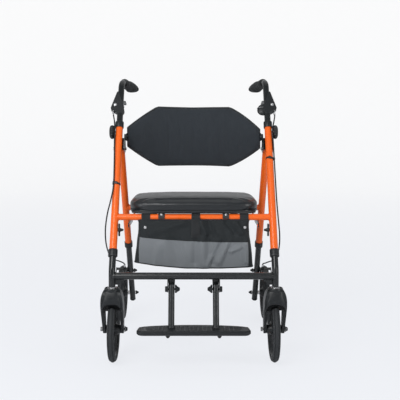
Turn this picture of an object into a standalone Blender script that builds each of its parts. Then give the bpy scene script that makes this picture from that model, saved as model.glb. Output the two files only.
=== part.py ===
"""Wide rollator with a footrest: folding A-frame, flip-up seat, swinging backrest, casters and wheel brakes.

Metres, +Z up, the front (casters and footrest) towards -Y, origin on the floor under the middle of the part.
"""
import math

import bmesh
import bpy
from mathutils import Matrix, Vector
from mathutils.geometry import convex_hull_2d

# Clearances
SEAT_GAP = 0.0003
RUNNING_GAP = 0.0004
MOVING_GAP = 0.0015

# Wheels
WHEEL_RADIUS = 0.114
TYRE_WIDTH = 0.042
TYRE_DEPTH = 0.022
RIM_WIDTH = 0.032
RIM_WALL = 0.005
WEB_THICKNESS = 0.009
HUB_RADIUS = 0.019
HUB_WIDTH = 0.044
SPOKE_COUNT = 5
SPOKE_WIDTH = 0.016
AXLE_RADIUS = 0.004
WHEELBASE = 0.560
FRONT_AXLE_Y = -0.267
REAR_WHEEL_X = 0.3055
AXLE_HEAD_RADIUS = 0.0085
AXLE_HEAD_HEIGHT = 0.006

# Front frame
FRONT_LEG_X = 0.283
LEG_RADIUS = 0.0135
LEG_WALL = 0.0012
INNER_TUBE_RADIUS = 0.0118
INNER_TUBE_WALL = 0.0016
FRONT_LEAN = math.radians(28.4)
CASTER_TRAIL = 0.045
LEG_BEND_Z = 0.330
LEG_BEND_RADIUS = 0.050
LEG_END_Z = 0.2745
LOWER_COLLAR_AT = 0.0637
UPPER_COLLAR_AT = 0.573
COLLAR_LENGTH = 0.026
COLLAR_WALL = 0.0028
LOWER_TUBE_TOP_AT = 0.185
CROSSBAR_RADIUS = 0.0115
CROSSBAR_WALL = 0.0015
SEAT_BAR_Z = 0.505
CROSS_TUBE_RADIUS = 0.0122
CROSS_TUBE_Z = 0.312
GUSSET_LENGTH = 0.034
GUSSET_THICKNESS = 0.003

# Fold hinge
HINGE_AT = 0.489
HINGE_OFFSET = 0.034
HINGE_BARREL_WIDTH = 0.026
HINGE_PIN_RADIUS = 0.004
BRACKET_WALL = 0.003
BRACKET_INNER_REACH = 0.0205
BACKREST_PIVOT_AT = 0.523

# Rear frame
REAR_TOP_X = 0.276
REAR_FOOT_X = 0.264
REAR_COLLAR_FROM_AXLE = 0.262
REAR_TUBE_OVERLAP = 0.090
REAR_TAIL = 0.036

# Braces
BRACE_X = 0.236
BRACE_WIDTH = 0.016
BRACE_THICKNESS = 0.004
BRACE_PIN_DROP = 0.030
BRACE_PIN_RADIUS = 0.003
LUG_THICKNESS = 0.003

# Seat
SEAT_HALF_WIDTH = 0.239
SEAT_FRONT_OVERHANG = 0.020
SEAT_DEPTH = 0.325
SEAT_BOARD_LIFT = 0.0135
SEAT_BOARD_THICKNESS = 0.008
CUSHION_HEIGHT = 0.047
CUSHION_CORNER = 0.055
CLIP_X = 0.115
CLIP_WIDTH = 0.023
CLIP_WALL = 0.0035

# Backrest
BACKREST_ARM_WALL = 0.003
BACKREST_HALF_WIDTH = FRONT_LEG_X - BRACKET_INNER_REACH - BRACKET_WALL - 2 * RUNNING_GAP - BACKREST_ARM_WALL - SEAT_GAP
BACKREST_HALF_HEIGHT = 0.119
BACKREST_END_HALF_HEIGHT = 0.037
BACKREST_FLAT_HALF = 0.142
BACKREST_THICKNESS = 0.026
BACKREST_BOW = 0.100
BACKREST_SET_BACK = 0.050

# Bag
BAG_TOP_HALF = 0.200
BAG_BOTTOM_HALF = 0.222
BAG_TOP_Z = 0.488
BAG_REAR_TOP_Z = 0.436
BAG_BOTTOM_Z = 0.322
BAG_DEPTH = 0.250
BAG_WALL = 0.003
STRAP_THICKNESS = 0.0012
STRAP_WIDTH = 0.032
STRAP_X = (-0.172, 0.008, 0.180)

# Handles
POST_INSERTION = 0.150
HANDLE_CORNER_Z = 1.0035
HANDLE_BEND_RADIUS = 0.042
HANDLE_LENGTH = 0.165
HANDLE_TOE_IN = math.radians(8.0)
HANDLE_DROOP = 0.05
GRIP_LENGTH = 0.122
GRIP_RADIUS = 0.0175
HOUSING_AT = 0.630
HOUSING_DEPTH = 0.026
HOUSING_BULGE = 0.026
LEVER_WIDTH = 0.0135
LEVER_PIVOT_OFFSET = 0.0265
LEVER_PIVOT_AT = 0.668
LEVER_LENGTH = 0.150
LEVER_PIN_RADIUS = 0.003
KNOB_AT = 0.543
KNOB_RADIUS = 0.027
KNOB_THICKNESS = 0.018
KNOB_RIBS = 14

# Casters
FORK_INSIDE = 0.054
FORK_OUTSIDE = 0.078
FORK_CROWN_WIDTH = 0.058
FORK_CROWN_Z = 0.2680
FORK_ARCH_Z = 0.2320
FORK_SHOULDER_Z = 0.212
FORK_CROWN_RADIUS = 0.026
FORK_END_RADIUS = 0.0150
FORK_SLOT_RADIUS = 0.0035
STEM_RADIUS = 0.006
BEARING_RADIUS = 0.0098

# Brakes
BRAKE_FROM_AXLE = 0.122
SHOE_PIN_FORWARD = 0.026
SHOE_PIN_FROM_AXLE = 0.1275
SHOE_REST_GAP = 0.0026
SHOE_WIDTH = 0.028
SHOE_THICKNESS = 0.005

# Footrest
FOOT_TUBE_X = 0.0765
FOOT_TUBE_RADIUS = 0.0108
FOOT_PIVOT_Z = 0.2690
FOOTPLATE_HALF_WIDTH = 0.193
FOOTPLATE_FRONT_Y = -0.4070
FOOTPLATE_DEPTH = 0.086
FOOTPLATE_THICKNESS = 0.016
FOOTPLATE_TOP_Z = 0.1450
FOOTPLATE_RIBS = 7
HANGER_THICKNESS = 0.003
STAR_POINTS = 5

# Brake cables
CABLE_RADIUS = 0.0025
# Places along a front leg: (out from the middle, up from the bend, towards the rear)
CABLE_ON_LEG = {
    "left": (
        (0.3118, 0.6315, 0.0),
        (0.3095, 0.612, -0.0040),
        (0.2990, 0.590, -0.0128),
        (0.2982, 0.545, -0.0132),
        (0.2975, 0.500, -0.0138),
        (0.2945, 0.430, -0.0145),
        (0.2918, 0.345, -0.0150),
        (0.2930, 0.300, -0.0155),
        (0.2995, 0.255, -0.0150),
    ),
    "right": (
        (0.3118, 0.6315, 0.0),
        (0.3095, 0.612, -0.0040),
        (0.2990, 0.590, -0.0128),
        (0.2982, 0.545, -0.0132),
        (0.2985, 0.500, -0.0120),
        (0.2995, 0.430, -0.0065),
        (0.3000, 0.345, -0.0050),
        (0.3005, 0.255, -0.0050),
    ),
}
# Places in the open: (out from the middle, y, z)
CABLE_IN_AIR = {
    "left": (
        (0.3100, -0.2150, 0.5150),
        (0.3160, -0.2220, 0.4650),
        (0.3165, -0.2120, 0.4200),
        (0.3155, -0.1700, 0.3800),
        (0.3160, -0.0900, 0.3430),
        (0.3185, 0.0300, 0.3070),
        (0.3170, 0.1300, 0.2840),
        (0.3050, 0.1850, 0.2680),
    ),
    "right": (
        (0.3040, -0.2200, 0.4900),
        (0.3075, -0.2250, 0.4450),
        (0.3090, -0.2080, 0.4050),
        (0.3110, -0.1550, 0.3680),
        (0.3140, -0.0600, 0.3300),
        (0.3140, 0.0500, 0.2980),
        (0.3060, 0.1400, 0.2750),
        (0.2970, 0.1900, 0.2600),
    ),
}

SIDES = (("left", -1.0), ("right", 1.0))
ROUND_SEGMENTS = 16
BORE_SEGMENTS = 8
WHEEL_SEGMENTS = 28

# Colours: linear RGB, metallic, roughness
FINISHES = {
    "orange": ((0.80, 0.16, 0.022), 0.0, 0.25),
    "black_paint": ((0.012, 0.013, 0.014), 0.0, 0.35),
    "black_plastic": ((0.014, 0.015, 0.016), 0.0, 0.5),
    "tyre": ((0.030, 0.032, 0.034), 0.0, 0.8),
    "steel": ((0.62, 0.62, 0.63), 1.0, 0.28),
    "vinyl": ((0.020, 0.022, 0.024), 0.0, 0.35),
    "pad_cloth": ((0.021, 0.027, 0.034), 0.0, 0.8),
    "bag_cloth": ((0.16, 0.17, 0.18), 0.0, 0.85),
    "webbing": ((0.012, 0.013, 0.015), 0.0, 0.9),
    "board": ((0.02, 0.02, 0.02), 0.0, 0.7),
}

# Places worked out from the sizes above
REAR_AXLE_Y = FRONT_AXLE_Y + WHEELBASE
STEM_Y = FRONT_AXLE_Y - CASTER_TRAIL
FRONT_UP = Vector((0.0, math.sin(FRONT_LEAN), math.cos(FRONT_LEAN)))
FRONT_BACK = Vector((0.0, math.cos(FRONT_LEAN), -math.sin(FRONT_LEAN)))
X_AXIS = Vector((1.0, 0.0, 0.0))
Z_AXIS = Vector((0.0, 0.0, 1.0))


def front_point(distance, offset=0.0, x=0.0):
    """A point on a front leg's line: distance up from the bend, offset towards the rear."""
    base = Vector((x, STEM_Y, LEG_BEND_Z))
    return base + FRONT_UP * distance + FRONT_BACK * offset


HINGE = front_point(HINGE_AT, HINGE_OFFSET)
REAR_AXLE = Vector((0.0, REAR_AXLE_Y, WHEEL_RADIUS))
REAR_DOWN = (REAR_AXLE - HINGE).normalized()
REAR_LENGTH = (REAR_AXLE - HINGE).length
REAR_FORWARD = Vector((0.0, REAR_DOWN.z, -REAR_DOWN.y))
SEAT_BAR_AT = (SEAT_BAR_Z - LEG_BEND_Z) / FRONT_UP.z
FRONT_BAR = front_point(SEAT_BAR_AT)
REAR_BAR = HINGE + REAR_DOWN * ((SEAT_BAR_Z - HINGE.z) / REAR_DOWN.z)


def rear_x(from_hinge):
    """How far out a rear leg's centre line is at a distance from the hinge."""
    return REAR_TOP_X + (REAR_FOOT_X - REAR_TOP_X) * from_hinge / REAR_LENGTH


def rear_point(from_hinge, side, forward=0.0):
    """A point on a rear leg's line, with an offset at right angles towards the front."""
    point = HINGE + REAR_DOWN * from_hinge + REAR_FORWARD * forward
    point.x = side * rear_x(from_hinge)
    return point


def clear_scene():
    for item in list(bpy.data.objects):
        bpy.data.objects.remove(item, do_unlink=True)


def finish_material(name):
    material = bpy.data.materials.get(name)
    if material is None:
        colour, metallic, roughness = FINISHES[name]
        material = bpy.data.materials.new(name)
        material.use_nodes = True
        shader = material.node_tree.nodes["Principled BSDF"]
        shader.inputs["Base Color"].default_value = (*colour, 1.0)
        shader.inputs["Metallic"].default_value = metallic
        shader.inputs["Roughness"].default_value = roughness
    return material


def joint_empty(name, place):
    """An empty on a joint's axis, which carries what turns or slides there."""
    empty = bpy.data.objects.new(name, None)
    empty.empty_display_size = 0.03
    empty.location = place
    bpy.context.scene.collection.objects.link(empty)
    return empty


def carry(child, parent):
    """Parents an object or empty and leaves it where it is."""
    bpy.context.view_layer.update()
    child.parent = parent
    child.matrix_parent_inverse = parent.matrix_world.inverted()


def add_object(name, bm, finish, parent=None, smooth=True):
    """Turns a bmesh into a named object with its material, carried by parent."""
    bmesh.ops.recalc_face_normals(bm, faces=bm.faces[:])
    mesh = bpy.data.meshes.new(name)
    bm.to_mesh(mesh)
    bm.free()
    mesh.materials.append(finish_material(finish))
    if smooth:
        mesh.shade_smooth()
        mesh.set_sharp_from_angle(angle=math.radians(40.0))
    item = bpy.data.objects.new(name, mesh)
    bpy.context.scene.collection.objects.link(item)
    if parent is not None:
        carry(item, parent)
    return item


def add_cutter(name, bm):
    """A guide solid for a Boolean, left out of the model."""
    item = add_object(name, bm, "steel", smooth=False)
    item.hide_render = True
    item.display_type = "WIRE"
    return item


def combine(item, other, operation):
    """A live Boolean on item."""
    modifier = item.modifiers.new(operation.title(), "BOOLEAN")
    modifier.operation = operation
    modifier.object = other
    modifier.solver = "EXACT"


def soften(item, width, segments=2, angle=35.0):
    """Rounds the item's edges that are sharper than the angle."""
    bevel = item.modifiers.new("Soft edges", "BEVEL")
    bevel.width = width
    bevel.segments = segments
    bevel.limit_method = "ANGLE"
    bevel.angle_limit = math.radians(angle)


def fillet_path(corners, radius, steps=4):
    """A polyline whose inner corners are arcs of the given radius."""
    path = [Vector(corners[0])]
    for before, corner, after in zip(corners, corners[1:], corners[2:]):
        corner = Vector(corner)
        back = (Vector(before) - corner).normalized()
        ahead = (Vector(after) - corner).normalized()
        half = back.angle(ahead) / 2.0
        centre = corner + (back + ahead).normalized() * (radius / math.sin(half))
        start = (corner + back * (radius / math.tan(half)) - centre).normalized()
        end = (corner + ahead * (radius / math.tan(half)) - centre).normalized()
        for step in range(steps + 1):
            path.append(centre + start.slerp(end, step / steps) * radius)
    path.append(Vector(corners[-1]))
    return path


def smooth_path(points, spacing):
    """Even points along a smooth curve through the given ones."""
    points = [Vector(point) for point in points]
    padded = [points[0] * 2 - points[1]] + points + [points[-1] * 2 - points[-2]]
    fine = []
    for before, start, end, after in zip(padded, padded[1:], padded[2:], padded[3:]):
        for step in range(12):
            t = step / 12
            fine.append(0.5 * (
                2 * start + (end - before) * t
                + (2 * before - 5 * start + 4 * end - after) * t ** 2
                + (3 * start - 3 * end + after - before) * t ** 3
            ))
    fine.append(points[-1])
    total = sum((b - a).length for a, b in zip(fine, fine[1:]))
    count = max(2, round(total / spacing))
    even = [fine[0]]
    walked = 0.0
    for a, b in zip(fine, fine[1:]):
        length = (b - a).length
        while len(even) < count and walked + length >= total * len(even) / count:
            even.append(a.lerp(b, (total * len(even) / count - walked) / length))
        walked += length
    even.append(fine[-1])
    return even


def rings_along(bm, path, radii, segments, reference=X_AXIS):
    """One circle of vertices at each point of the path, square to it."""
    rings = []
    for index, point in enumerate(path):
        ahead = path[min(index + 1, len(path) - 1)] - path[max(index - 1, 0)]
        ahead.normalize()
        across = (reference - ahead * reference.dot(ahead)).normalized()
        up = ahead.cross(across)
        ring = []
        for step in range(segments):
            turn = 2.0 * math.pi * (step + 0.5) / segments
            place = point + (across * math.cos(turn) + up * math.sin(turn)) * radii[index]
            ring.append(bm.verts.new(place))
        rings.append(ring)
    return rings


def skin(bm, rings, close=True):
    """Quads between neighbouring rings, and a face on each end."""
    for first, second in zip(rings, rings[1:]):
        for index in range(len(first)):
            following = (index + 1) % len(first)
            bm.faces.new((first[index], first[following], second[following], second[index]))
    if close:
        bm.faces.new(rings[0])
        bm.faces.new(rings[-1])


def tube(bm, path, radius, wall=0.0, segments=ROUND_SEGMENTS, reference=X_AXIS):
    """A round tube along a path, hollow where it has a wall."""
    path = [Vector(point) for point in path]
    outer = rings_along(bm, path, [radius] * len(path), segments, reference)
    if not wall:
        skin(bm, outer)
        return
    inner = rings_along(bm, path, [radius - wall] * len(path), segments, reference)
    loop = outer + inner[::-1] + [outer[0]]
    skin(bm, loop, close=False)


def turned(bm, profile, place, axis, segments=ROUND_SEGMENTS):
    """A turned solid: profile is an outline of (radius, height) pairs about the axis."""
    turn = Vector(axis).normalized().to_track_quat("Z", "Y").to_matrix().to_4x4()
    matrix = Matrix.Translation(Vector(place)) @ turn
    part = bmesh.new()
    verts = [part.verts.new((radius, 0.0, height)) for radius, height in profile]
    edges = [part.edges.new((a, b)) for a, b in zip(verts, verts[1:])]
    if profile[0][0] > 0.0 or profile[-1][0] > 0.0:
        edges.append(part.edges.new((verts[-1], verts[0])))
    bmesh.ops.spin(
        part, geom=verts + edges, cent=(0, 0, 0), axis=(0, 0, 1), angle=2 * math.pi,
        steps=segments, use_merge=True, use_duplicate=False,
    )
    bmesh.ops.remove_doubles(part, verts=part.verts[:], dist=1e-6)
    bmesh.ops.transform(part, matrix=matrix, verts=part.verts[:])
    bmesh.ops.recalc_face_normals(part, faces=part.faces[:])
    mesh = bpy.data.meshes.new("turned")
    part.to_mesh(mesh)
    part.free()
    bm.from_mesh(mesh)
    bpy.data.meshes.remove(mesh)


def rod(bm, start, end, radius, segments=ROUND_SEGMENTS):
    """A plain round bar."""
    axis = Vector(end) - Vector(start)
    reference = X_AXIS if abs(axis.normalized().x) < 0.9 else Z_AXIS
    tube(bm, (start, end), radius, segments=segments, reference=reference)


def prism(bm, outline, matrix, depth):
    """Extrudes a closed outline of (u, v) points by depth, centred, and places it."""
    low = [bm.verts.new(matrix @ Vector((u, v, -depth / 2.0))) for u, v in outline]
    high = [bm.verts.new(matrix @ Vector((u, v, depth / 2.0))) for u, v in outline]
    skin(bm, [low, high])


def box(bm, low, high):
    """A block between two corners."""
    outline = ((low[0], low[1]), (high[0], low[1]), (high[0], high[1]), (low[0], high[1]))
    middle = (low[2] + high[2]) / 2.0
    prism(bm, outline, Matrix.Translation((0.0, 0.0, middle)), high[2] - low[2])


def round_outline(circles, steps=14):
    """The outline round a group of (u, v, radius) circles."""
    points = []
    for u, v, radius in circles:
        for step in range(steps):
            turn = 2.0 * math.pi * step / steps
            points.append(Vector((u + radius * math.cos(turn), v + radius * math.sin(turn))))
    return [tuple(points[index]) for index in convex_hull_2d(points)]


def frame_matrix(place, u_axis, v_axis):
    """The matrix that takes (u, v, w) to a place with the given first two axes."""
    u_axis = Vector(u_axis).normalized()
    v_axis = Vector(v_axis).normalized()
    w_axis = u_axis.cross(v_axis)
    matrix = Matrix((u_axis, v_axis, w_axis)).transposed().to_4x4()
    matrix.translation = Vector(place)
    return matrix


def side_matrix(x):
    """Places an outline drawn in (y, z) at a distance x."""
    return frame_matrix((x, 0.0, 0.0), (0, 1, 0), (0, 0, 1))


def ribbon_outline(points, half_widths):
    """The outline of a strip that follows points with a half width at each."""
    one_side = []
    other_side = []
    for index, (u, v) in enumerate(points):
        before = Vector(points[max(index - 1, 0)])
        after = Vector(points[min(index + 1, len(points) - 1)])
        along = (after - before).normalized()
        normal = Vector((-along.y, along.x)) * half_widths[index]
        one_side.append((u + normal.x, v + normal.y))
        other_side.append((u - normal.x, v - normal.y))
    return one_side + other_side[::-1]


def rounded_rectangle(half_x, half_y, radius, steps=6, pull=0.0):
    """Points round a rectangle with round corners, its sides drawn in by pull at their middles."""
    corner_x = half_x - radius
    corner_y = half_y - radius
    points = []
    quadrants = ((1, 1, 0.0), (-1, 1, 90.0), (-1, -1, 180.0), (1, -1, 270.0))
    for sign_x, sign_y, start in quadrants:
        for step in range(steps + 1):
            turn = math.radians(start + 90.0 * step / steps)
            x = sign_x * corner_x + radius * math.cos(turn)
            y = sign_y * corner_y + radius * math.sin(turn)
            points.append((x, y))
        share = (1, 0) if sign_x == sign_y else (0, 1)
        for part in (0.75, 0.5, 0.25):
            across = (2.0 * part - 1.0) * sign_x
            down = (2.0 * part - 1.0) * sign_y
            drawn = pull * (1.0 - (2.0 * part - 1.0) ** 2)
            if share[0]:
                points.append((across * corner_x, sign_y * (half_y - drawn)))
            else:
                points.append((sign_x * (half_x - drawn), down * corner_y))
    return points


def shape_of(builder, *arguments, **options):
    """A new bmesh that holds what one builder draws."""
    bm = bmesh.new()
    builder(bm, *arguments, **options)
    return bm


def welded(name, shapes, finish, parent):
    """One body made of several overlapping shapes."""
    item = add_object(name, shapes[0], finish, parent)
    for index, shape in enumerate(shapes[1:], 1):
        combine(item, add_cutter(f"{name}_weld_{index}", shape), "UNION")
    return item


def bored(item, name, shape):
    """Cuts a shape out of an item."""
    combine(item, add_cutter(name, shape), "DIFFERENCE")


def front_leg_line(side):
    """The two ends of an orange front leg."""
    x = side * FRONT_LEG_X
    return front_point(LOWER_COLLAR_AT, 0.0, x), front_point(UPPER_COLLAR_AT, 0.0, x)


def lower_leg_line(side):
    """The path of a black lower leg: along the orange one, then upright over the caster."""
    x = side * FRONT_LEG_X
    foot = Vector((x, STEM_Y, LEG_END_Z))
    return fillet_path((front_point(LOWER_TUBE_TOP_AT, 0.0, x), front_point(0.0, 0.0, x), foot), LEG_BEND_RADIUS)


def build_front_frame(root):
    """The orange legs welded to the seat bar, with brace lugs and cross holes for the clamping screws."""
    legs = bmesh.new()
    for _, side in SIDES:
        tube(legs, front_leg_line(side), LEG_RADIUS)
    low = Vector((-FRONT_LEG_X, FRONT_BAR.y, FRONT_BAR.z))
    high = Vector((FRONT_LEG_X, FRONT_BAR.y, FRONT_BAR.z))
    bar = shape_of(rod, low, high, CROSSBAR_RADIUS)
    lugs, pins = brace_lug_shapes(True)
    frame = welded("front_frame_tubes", [bar, legs, lugs, pins], "orange", root)
    holes = bmesh.new()
    rod(holes, low, high, CROSSBAR_RADIUS - CROSSBAR_WALL, BORE_SEGMENTS)
    bored(frame, "front_bar_bore", holes)
    bore = bmesh.new()
    for _, side in SIDES:
        start, end = front_leg_line(side)
        rod(bore, start - FRONT_UP * 0.01, end + FRONT_UP * 0.01, LEG_RADIUS - LEG_WALL)
    bored(frame, "front_leg_bores", bore)
    screws = bmesh.new()
    knob = front_point(KNOB_AT)
    wing = front_point(WING_AT)
    for _, side in SIDES:
        x = side * FRONT_LEG_X
        outside = x + side * LEG_RADIUS * 0.5
        rod(screws, (outside, knob.y, knob.z), (x + side * 0.03, knob.y, knob.z), KNOB_SCREW_RADIUS + RUNNING_GAP, 10)
        inside = x - side * LEG_RADIUS * 0.5
        rod(screws, (inside, wing.y, wing.z), (x - side * 0.03, wing.y, wing.z), WING_SCREW_RADIUS + RUNNING_GAP, 10)
    bored(frame, "front_leg_holes", screws)


KNOB_SCREW_RADIUS = 0.004
WING_AT = (0.462 - LEG_BEND_Z) / FRONT_UP.z
WING_SCREW_RADIUS = 0.003
WING_SPAN = 0.044
WELD_DEPTH = 0.0007
CABLE_END_X = 0.290
CABLE_STOP_FORWARD = 0.005
CABLE_STOP_HEIGHT = 0.013
CABLE_STOP_AT = BRAKE_FROM_AXLE + 0.0118


def collar_profile(inner_radius):
    """A stepped ring: the upper half over the orange tube, the lower half on the tube inside it."""
    outer = LEG_RADIUS + COLLAR_WALL
    half = COLLAR_LENGTH / 2.0
    lip = 0.0012
    return (
        (LEG_RADIUS + SEAT_GAP, 0.0),
        (inner_radius, 0.0),
        (inner_radius, -half),
        (outer, -half),
        (outer, half - lip),
        (outer - lip, half),
        (LEG_RADIUS + SEAT_GAP, half),
    )


def build_post_collars(root):
    """Plastic collars at the top of the orange legs, which guide the handle posts."""
    for label, side in SIDES:
        place = front_point(UPPER_COLLAR_AT + SEAT_GAP, 0.0, side * FRONT_LEG_X)
        profile = collar_profile(INNER_TUBE_RADIUS + RUNNING_GAP)
        add_object("post_collar_" + label, shape_of(turned, profile, place, -FRONT_UP), "black_plastic", root)


def gusset_shape():
    """Triangular plates under the ends of the lower cross tube."""
    bm = bmesh.new()
    for _, side in SIDES:
        outer = side * (FRONT_LEG_X - INNER_TUBE_RADIUS + 2 * WELD_DEPTH)
        inner = outer - side * GUSSET_LENGTH
        below = CROSS_TUBE_Z - CROSS_TUBE_RADIUS
        outline = (
            (inner, CROSS_TUBE_Z - 0.004),
            (outer, CROSS_TUBE_Z - 0.004),
            (outer, below - 0.018),
            (outer - side * 0.012, below - 0.018),
            (inner, below - 0.001),
        )
        prism(bm, outline, frame_matrix((0, STEM_Y, 0), (1, 0, 0), (0, 0, 1)), GUSSET_THICKNESS)
    return bm


def hanger_shapes():
    """Plates under the cross tube that the footrest swings on, and the bosses on their outer faces."""
    pivot = foot_pivot()
    plates = bmesh.new()
    bosses = bmesh.new()
    for _, side in SIDES:
        x = side * (FOOT_TUBE_X + FOOT_TUBE_RADIUS + 2 * SEAT_GAP + HANGER_THICKNESS / 2.0)
        outline = round_outline((
            (pivot.y, pivot.z, 0.0115),
            (STEM_Y, CROSS_TUBE_Z - 0.002, 0.0100),
        ))
        prism(plates, outline, side_matrix(x), HANGER_THICKNESS)
        outer = x + side * HANGER_THICKNESS * 0.3
        rod(bosses, (outer, pivot.y, pivot.z), (outer + side * 0.0085, pivot.y, pivot.z), 0.0100)
    return plates, bosses


def build_lower_frame(root):
    """The black lower legs, welded to their cross tube, with its gussets, hangers, collars and bearing cups."""
    across = Vector((FRONT_LEG_X, 0.0, 0.0))
    middle = Vector((0.0, STEM_Y, CROSS_TUBE_Z))
    bar = shape_of(rod, middle - across, middle + across, CROSS_TUBE_RADIUS)
    legs = bmesh.new()
    collars = bmesh.new()
    cups = bmesh.new()
    bores = bmesh.new()
    for _, side in SIDES:
        path = lower_leg_line(side)
        tube(legs, path, INNER_TUBE_RADIUS)
        rod(bores, path[0] + FRONT_UP * 0.01, path[1], INNER_TUBE_RADIUS - INNER_TUBE_WALL, BORE_SEGMENTS)
        place = front_point(LOWER_COLLAR_AT - SEAT_GAP, 0.0, side * FRONT_LEG_X)
        turned(collars, collar_profile(INNER_TUBE_RADIUS - WELD_DEPTH), place, FRONT_UP)
        low = FORK_CROWN_Z + 2 * SEAT_GAP
        flange = ((0.0, low), (0.0125, low), (0.0125, LEG_END_Z + 0.001), (0.0, LEG_END_Z + 0.001))
        turned(cups, flange, (side * FRONT_LEG_X, STEM_Y, 0.0), Z_AXIS)
    plates, bosses = hanger_shapes()
    frame = welded("lower_frame", [bar, legs, collars, cups, gusset_shape(), plates, bosses], "black_paint", root)
    bored(frame, "lower_leg_bores", bores)
    cuts = bmesh.new()
    pivot = foot_pivot()
    for _, side in SIDES:
        x = side * FRONT_LEG_X
        rod(cuts, (x, STEM_Y, FORK_CROWN_Z - 0.01), (x, STEM_Y, STEM_TOP_Z + 0.001), STEM_RADIUS + RUNNING_GAP, 16)
        inner = side * (FOOT_TUBE_X - 0.01)
        outer = side * (FOOT_TUBE_X + 0.05)
        rod(cuts, (inner, pivot.y, pivot.z), (outer, pivot.y, pivot.z), FOOT_PIN_RADIUS + RUNNING_GAP, 10)
    bored(frame, "lower_frame_holes", cuts)


STEM_TOP_Z = 0.298
FOOT_PIN_RADIUS = 0.0035


def hinge_outline():
    """The ear of a hinge bracket in (distance along the leg, offset to the rear)."""
    return round_outline((
        (HINGE_AT, HINGE_OFFSET, 0.0140),
        (HINGE_AT + 0.034, 0.004, 0.0130),
        (HINGE_AT - 0.014, 0.004, 0.0110),
    ))


def leg_plane(x):
    """Places an outline drawn in (distance along the leg, offset to the rear) at x."""
    return frame_matrix(front_point(0.0, 0.0, x), FRONT_UP, FRONT_BACK)


def bracket_faces(side):
    """The inner ear's and outer ear's middle planes."""
    inner = side * (FRONT_LEG_X - BRACKET_INNER_REACH - BRACKET_WALL / 2.0)
    outer = side * (FRONT_LEG_X + LEG_RADIUS + SEAT_GAP + BRACKET_WALL / 2.0)
    return inner, outer


def build_hinge_brackets(root):
    """Channels behind the front legs that carry the rear legs, and the backrest on a riveted pin."""
    pivot = front_point(BACKREST_PIVOT_AT, 0.004)
    for label, side in SIDES:
        inner, outer = bracket_faces(side)
        half = side * BRACKET_WALL / 2.0
        ears = bmesh.new()
        for x in (inner, outer):
            prism(ears, hinge_outline(), leg_plane(x), BRACKET_WALL)
        web_from = LEG_RADIUS + SEAT_GAP
        low = HINGE_AT - 0.012
        high = HINGE_AT + 0.036
        web = ((low, web_from), (high, web_from), (high, web_from + BRACKET_WALL), (low, web_from + BRACKET_WALL))
        web_shape = shape_of(prism, web, leg_plane((inner + outer) / 2.0), abs(outer - inner) + BRACKET_WALL * 0.5)
        arm_inner = inner - half - side * (BACKREST_ARM_WALL + 2 * RUNNING_GAP + SEAT_GAP)
        pin = shape_of(rod, (inner, pivot.y, pivot.z), (arm_inner, pivot.y, pivot.z), HINGE_PIN_RADIUS, 16)
        neck = HINGE_PIN_RADIUS * 0.9
        profile = ((0.0, -0.001), (neck, -0.001), (neck, 0.0), (0.0078, 0.0), (0.0070, 0.0024), (0.0045, 0.0036), (0.0, 0.0036))
        head = shape_of(turned, profile, (arm_inner, pivot.y, pivot.z), (-side, 0, 0), 16)
        bracket = welded("hinge_bracket_" + label, [ears, web_shape, pin, head], "black_paint", root)
        hole = bmesh.new()
        reach = side * 0.05
        centre = side * FRONT_LEG_X
        rod(hole, (centre - reach, HINGE.y, HINGE.z), (centre + reach, HINGE.y, HINGE.z), HINGE_PIN_RADIUS + SEAT_GAP, 16)
        bored(bracket, "hinge_bracket_hole_" + label, hole)


def headed_pin(bm, start, end, radius, head_radius, head_height, nut=True):
    """A pin from start to end with a domed head past start and a nut past end."""
    start = Vector(start)
    end = Vector(end)
    axis = end - start
    length = axis.length
    profile = [
        (0.0, -head_height),
        (head_radius * 0.7, -head_height),
        (head_radius, -head_height * 0.4),
        (head_radius, 0.0),
        (radius, 0.0),
        (radius, length),
    ]
    if nut:
        profile += [(head_radius * 0.9, length), (head_radius * 0.9, length + head_height * 0.9)]
        profile += [(0.0, length + head_height * 0.9)]
    else:
        profile += [(0.0, length)]
    turned(bm, profile, start, axis, segments=10)


def build_hinge_pins(root):
    """The bolts that the rear legs turn on."""
    for label, side in SIDES:
        inner, outer = bracket_faces(side)
        half = side * (BRACKET_WALL / 2.0 + SEAT_GAP)
        bm = bmesh.new()
        headed_pin(
            bm, (outer + half, HINGE.y, HINGE.z), (inner - half, HINGE.y, HINGE.z),
            HINGE_PIN_RADIUS, 0.0075, 0.0045,
        )
        add_object("hinge_bolt_" + label, bm, "steel", root)


def build_rear_frame(rear):
    """The orange rear legs with their hinge barrels, welded to the rear seat bar with its brace lugs."""
    legs = bmesh.new()
    barrels = bmesh.new()
    bores = bmesh.new()
    holes = bmesh.new()
    half = HINGE_BARREL_WIDTH / 2.0
    for _, side in SIDES:
        top = rear_point(0.004, side)
        end = rear_point(REAR_LENGTH - REAR_COLLAR_FROM_AXLE, side)
        along = (end - top).normalized()
        tube(legs, (top, end), LEG_RADIUS)
        rod(bores, top + along * 0.030, end + along * 0.02, LEG_RADIUS - LEG_WALL)
        middle = side * REAR_TOP_X
        rod(barrels, (middle - half, HINGE.y, HINGE.z), (middle + half, HINGE.y, HINGE.z), LEG_RADIUS)
        reach = half + 0.02
        rod(holes, (middle - reach, HINGE.y, HINGE.z), (middle + reach, HINGE.y, HINGE.z), HINGE_PIN_RADIUS + RUNNING_GAP)
    reach = Vector((rear_x((REAR_BAR - HINGE).length), 0.0, 0.0))
    bar = shape_of(rod, REAR_BAR - reach, REAR_BAR + reach, CROSSBAR_RADIUS)
    lugs, pins = brace_lug_shapes(False)
    frame = welded("rear_frame_tubes", [bar, legs, barrels, lugs, pins], "orange", rear)
    rod(holes, REAR_BAR - reach, REAR_BAR + reach, CROSSBAR_RADIUS - CROSSBAR_WALL, BORE_SEGMENTS)
    bored(frame, "rear_bar_bore", holes)
    bored(frame, "rear_leg_bores", bores)


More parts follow.
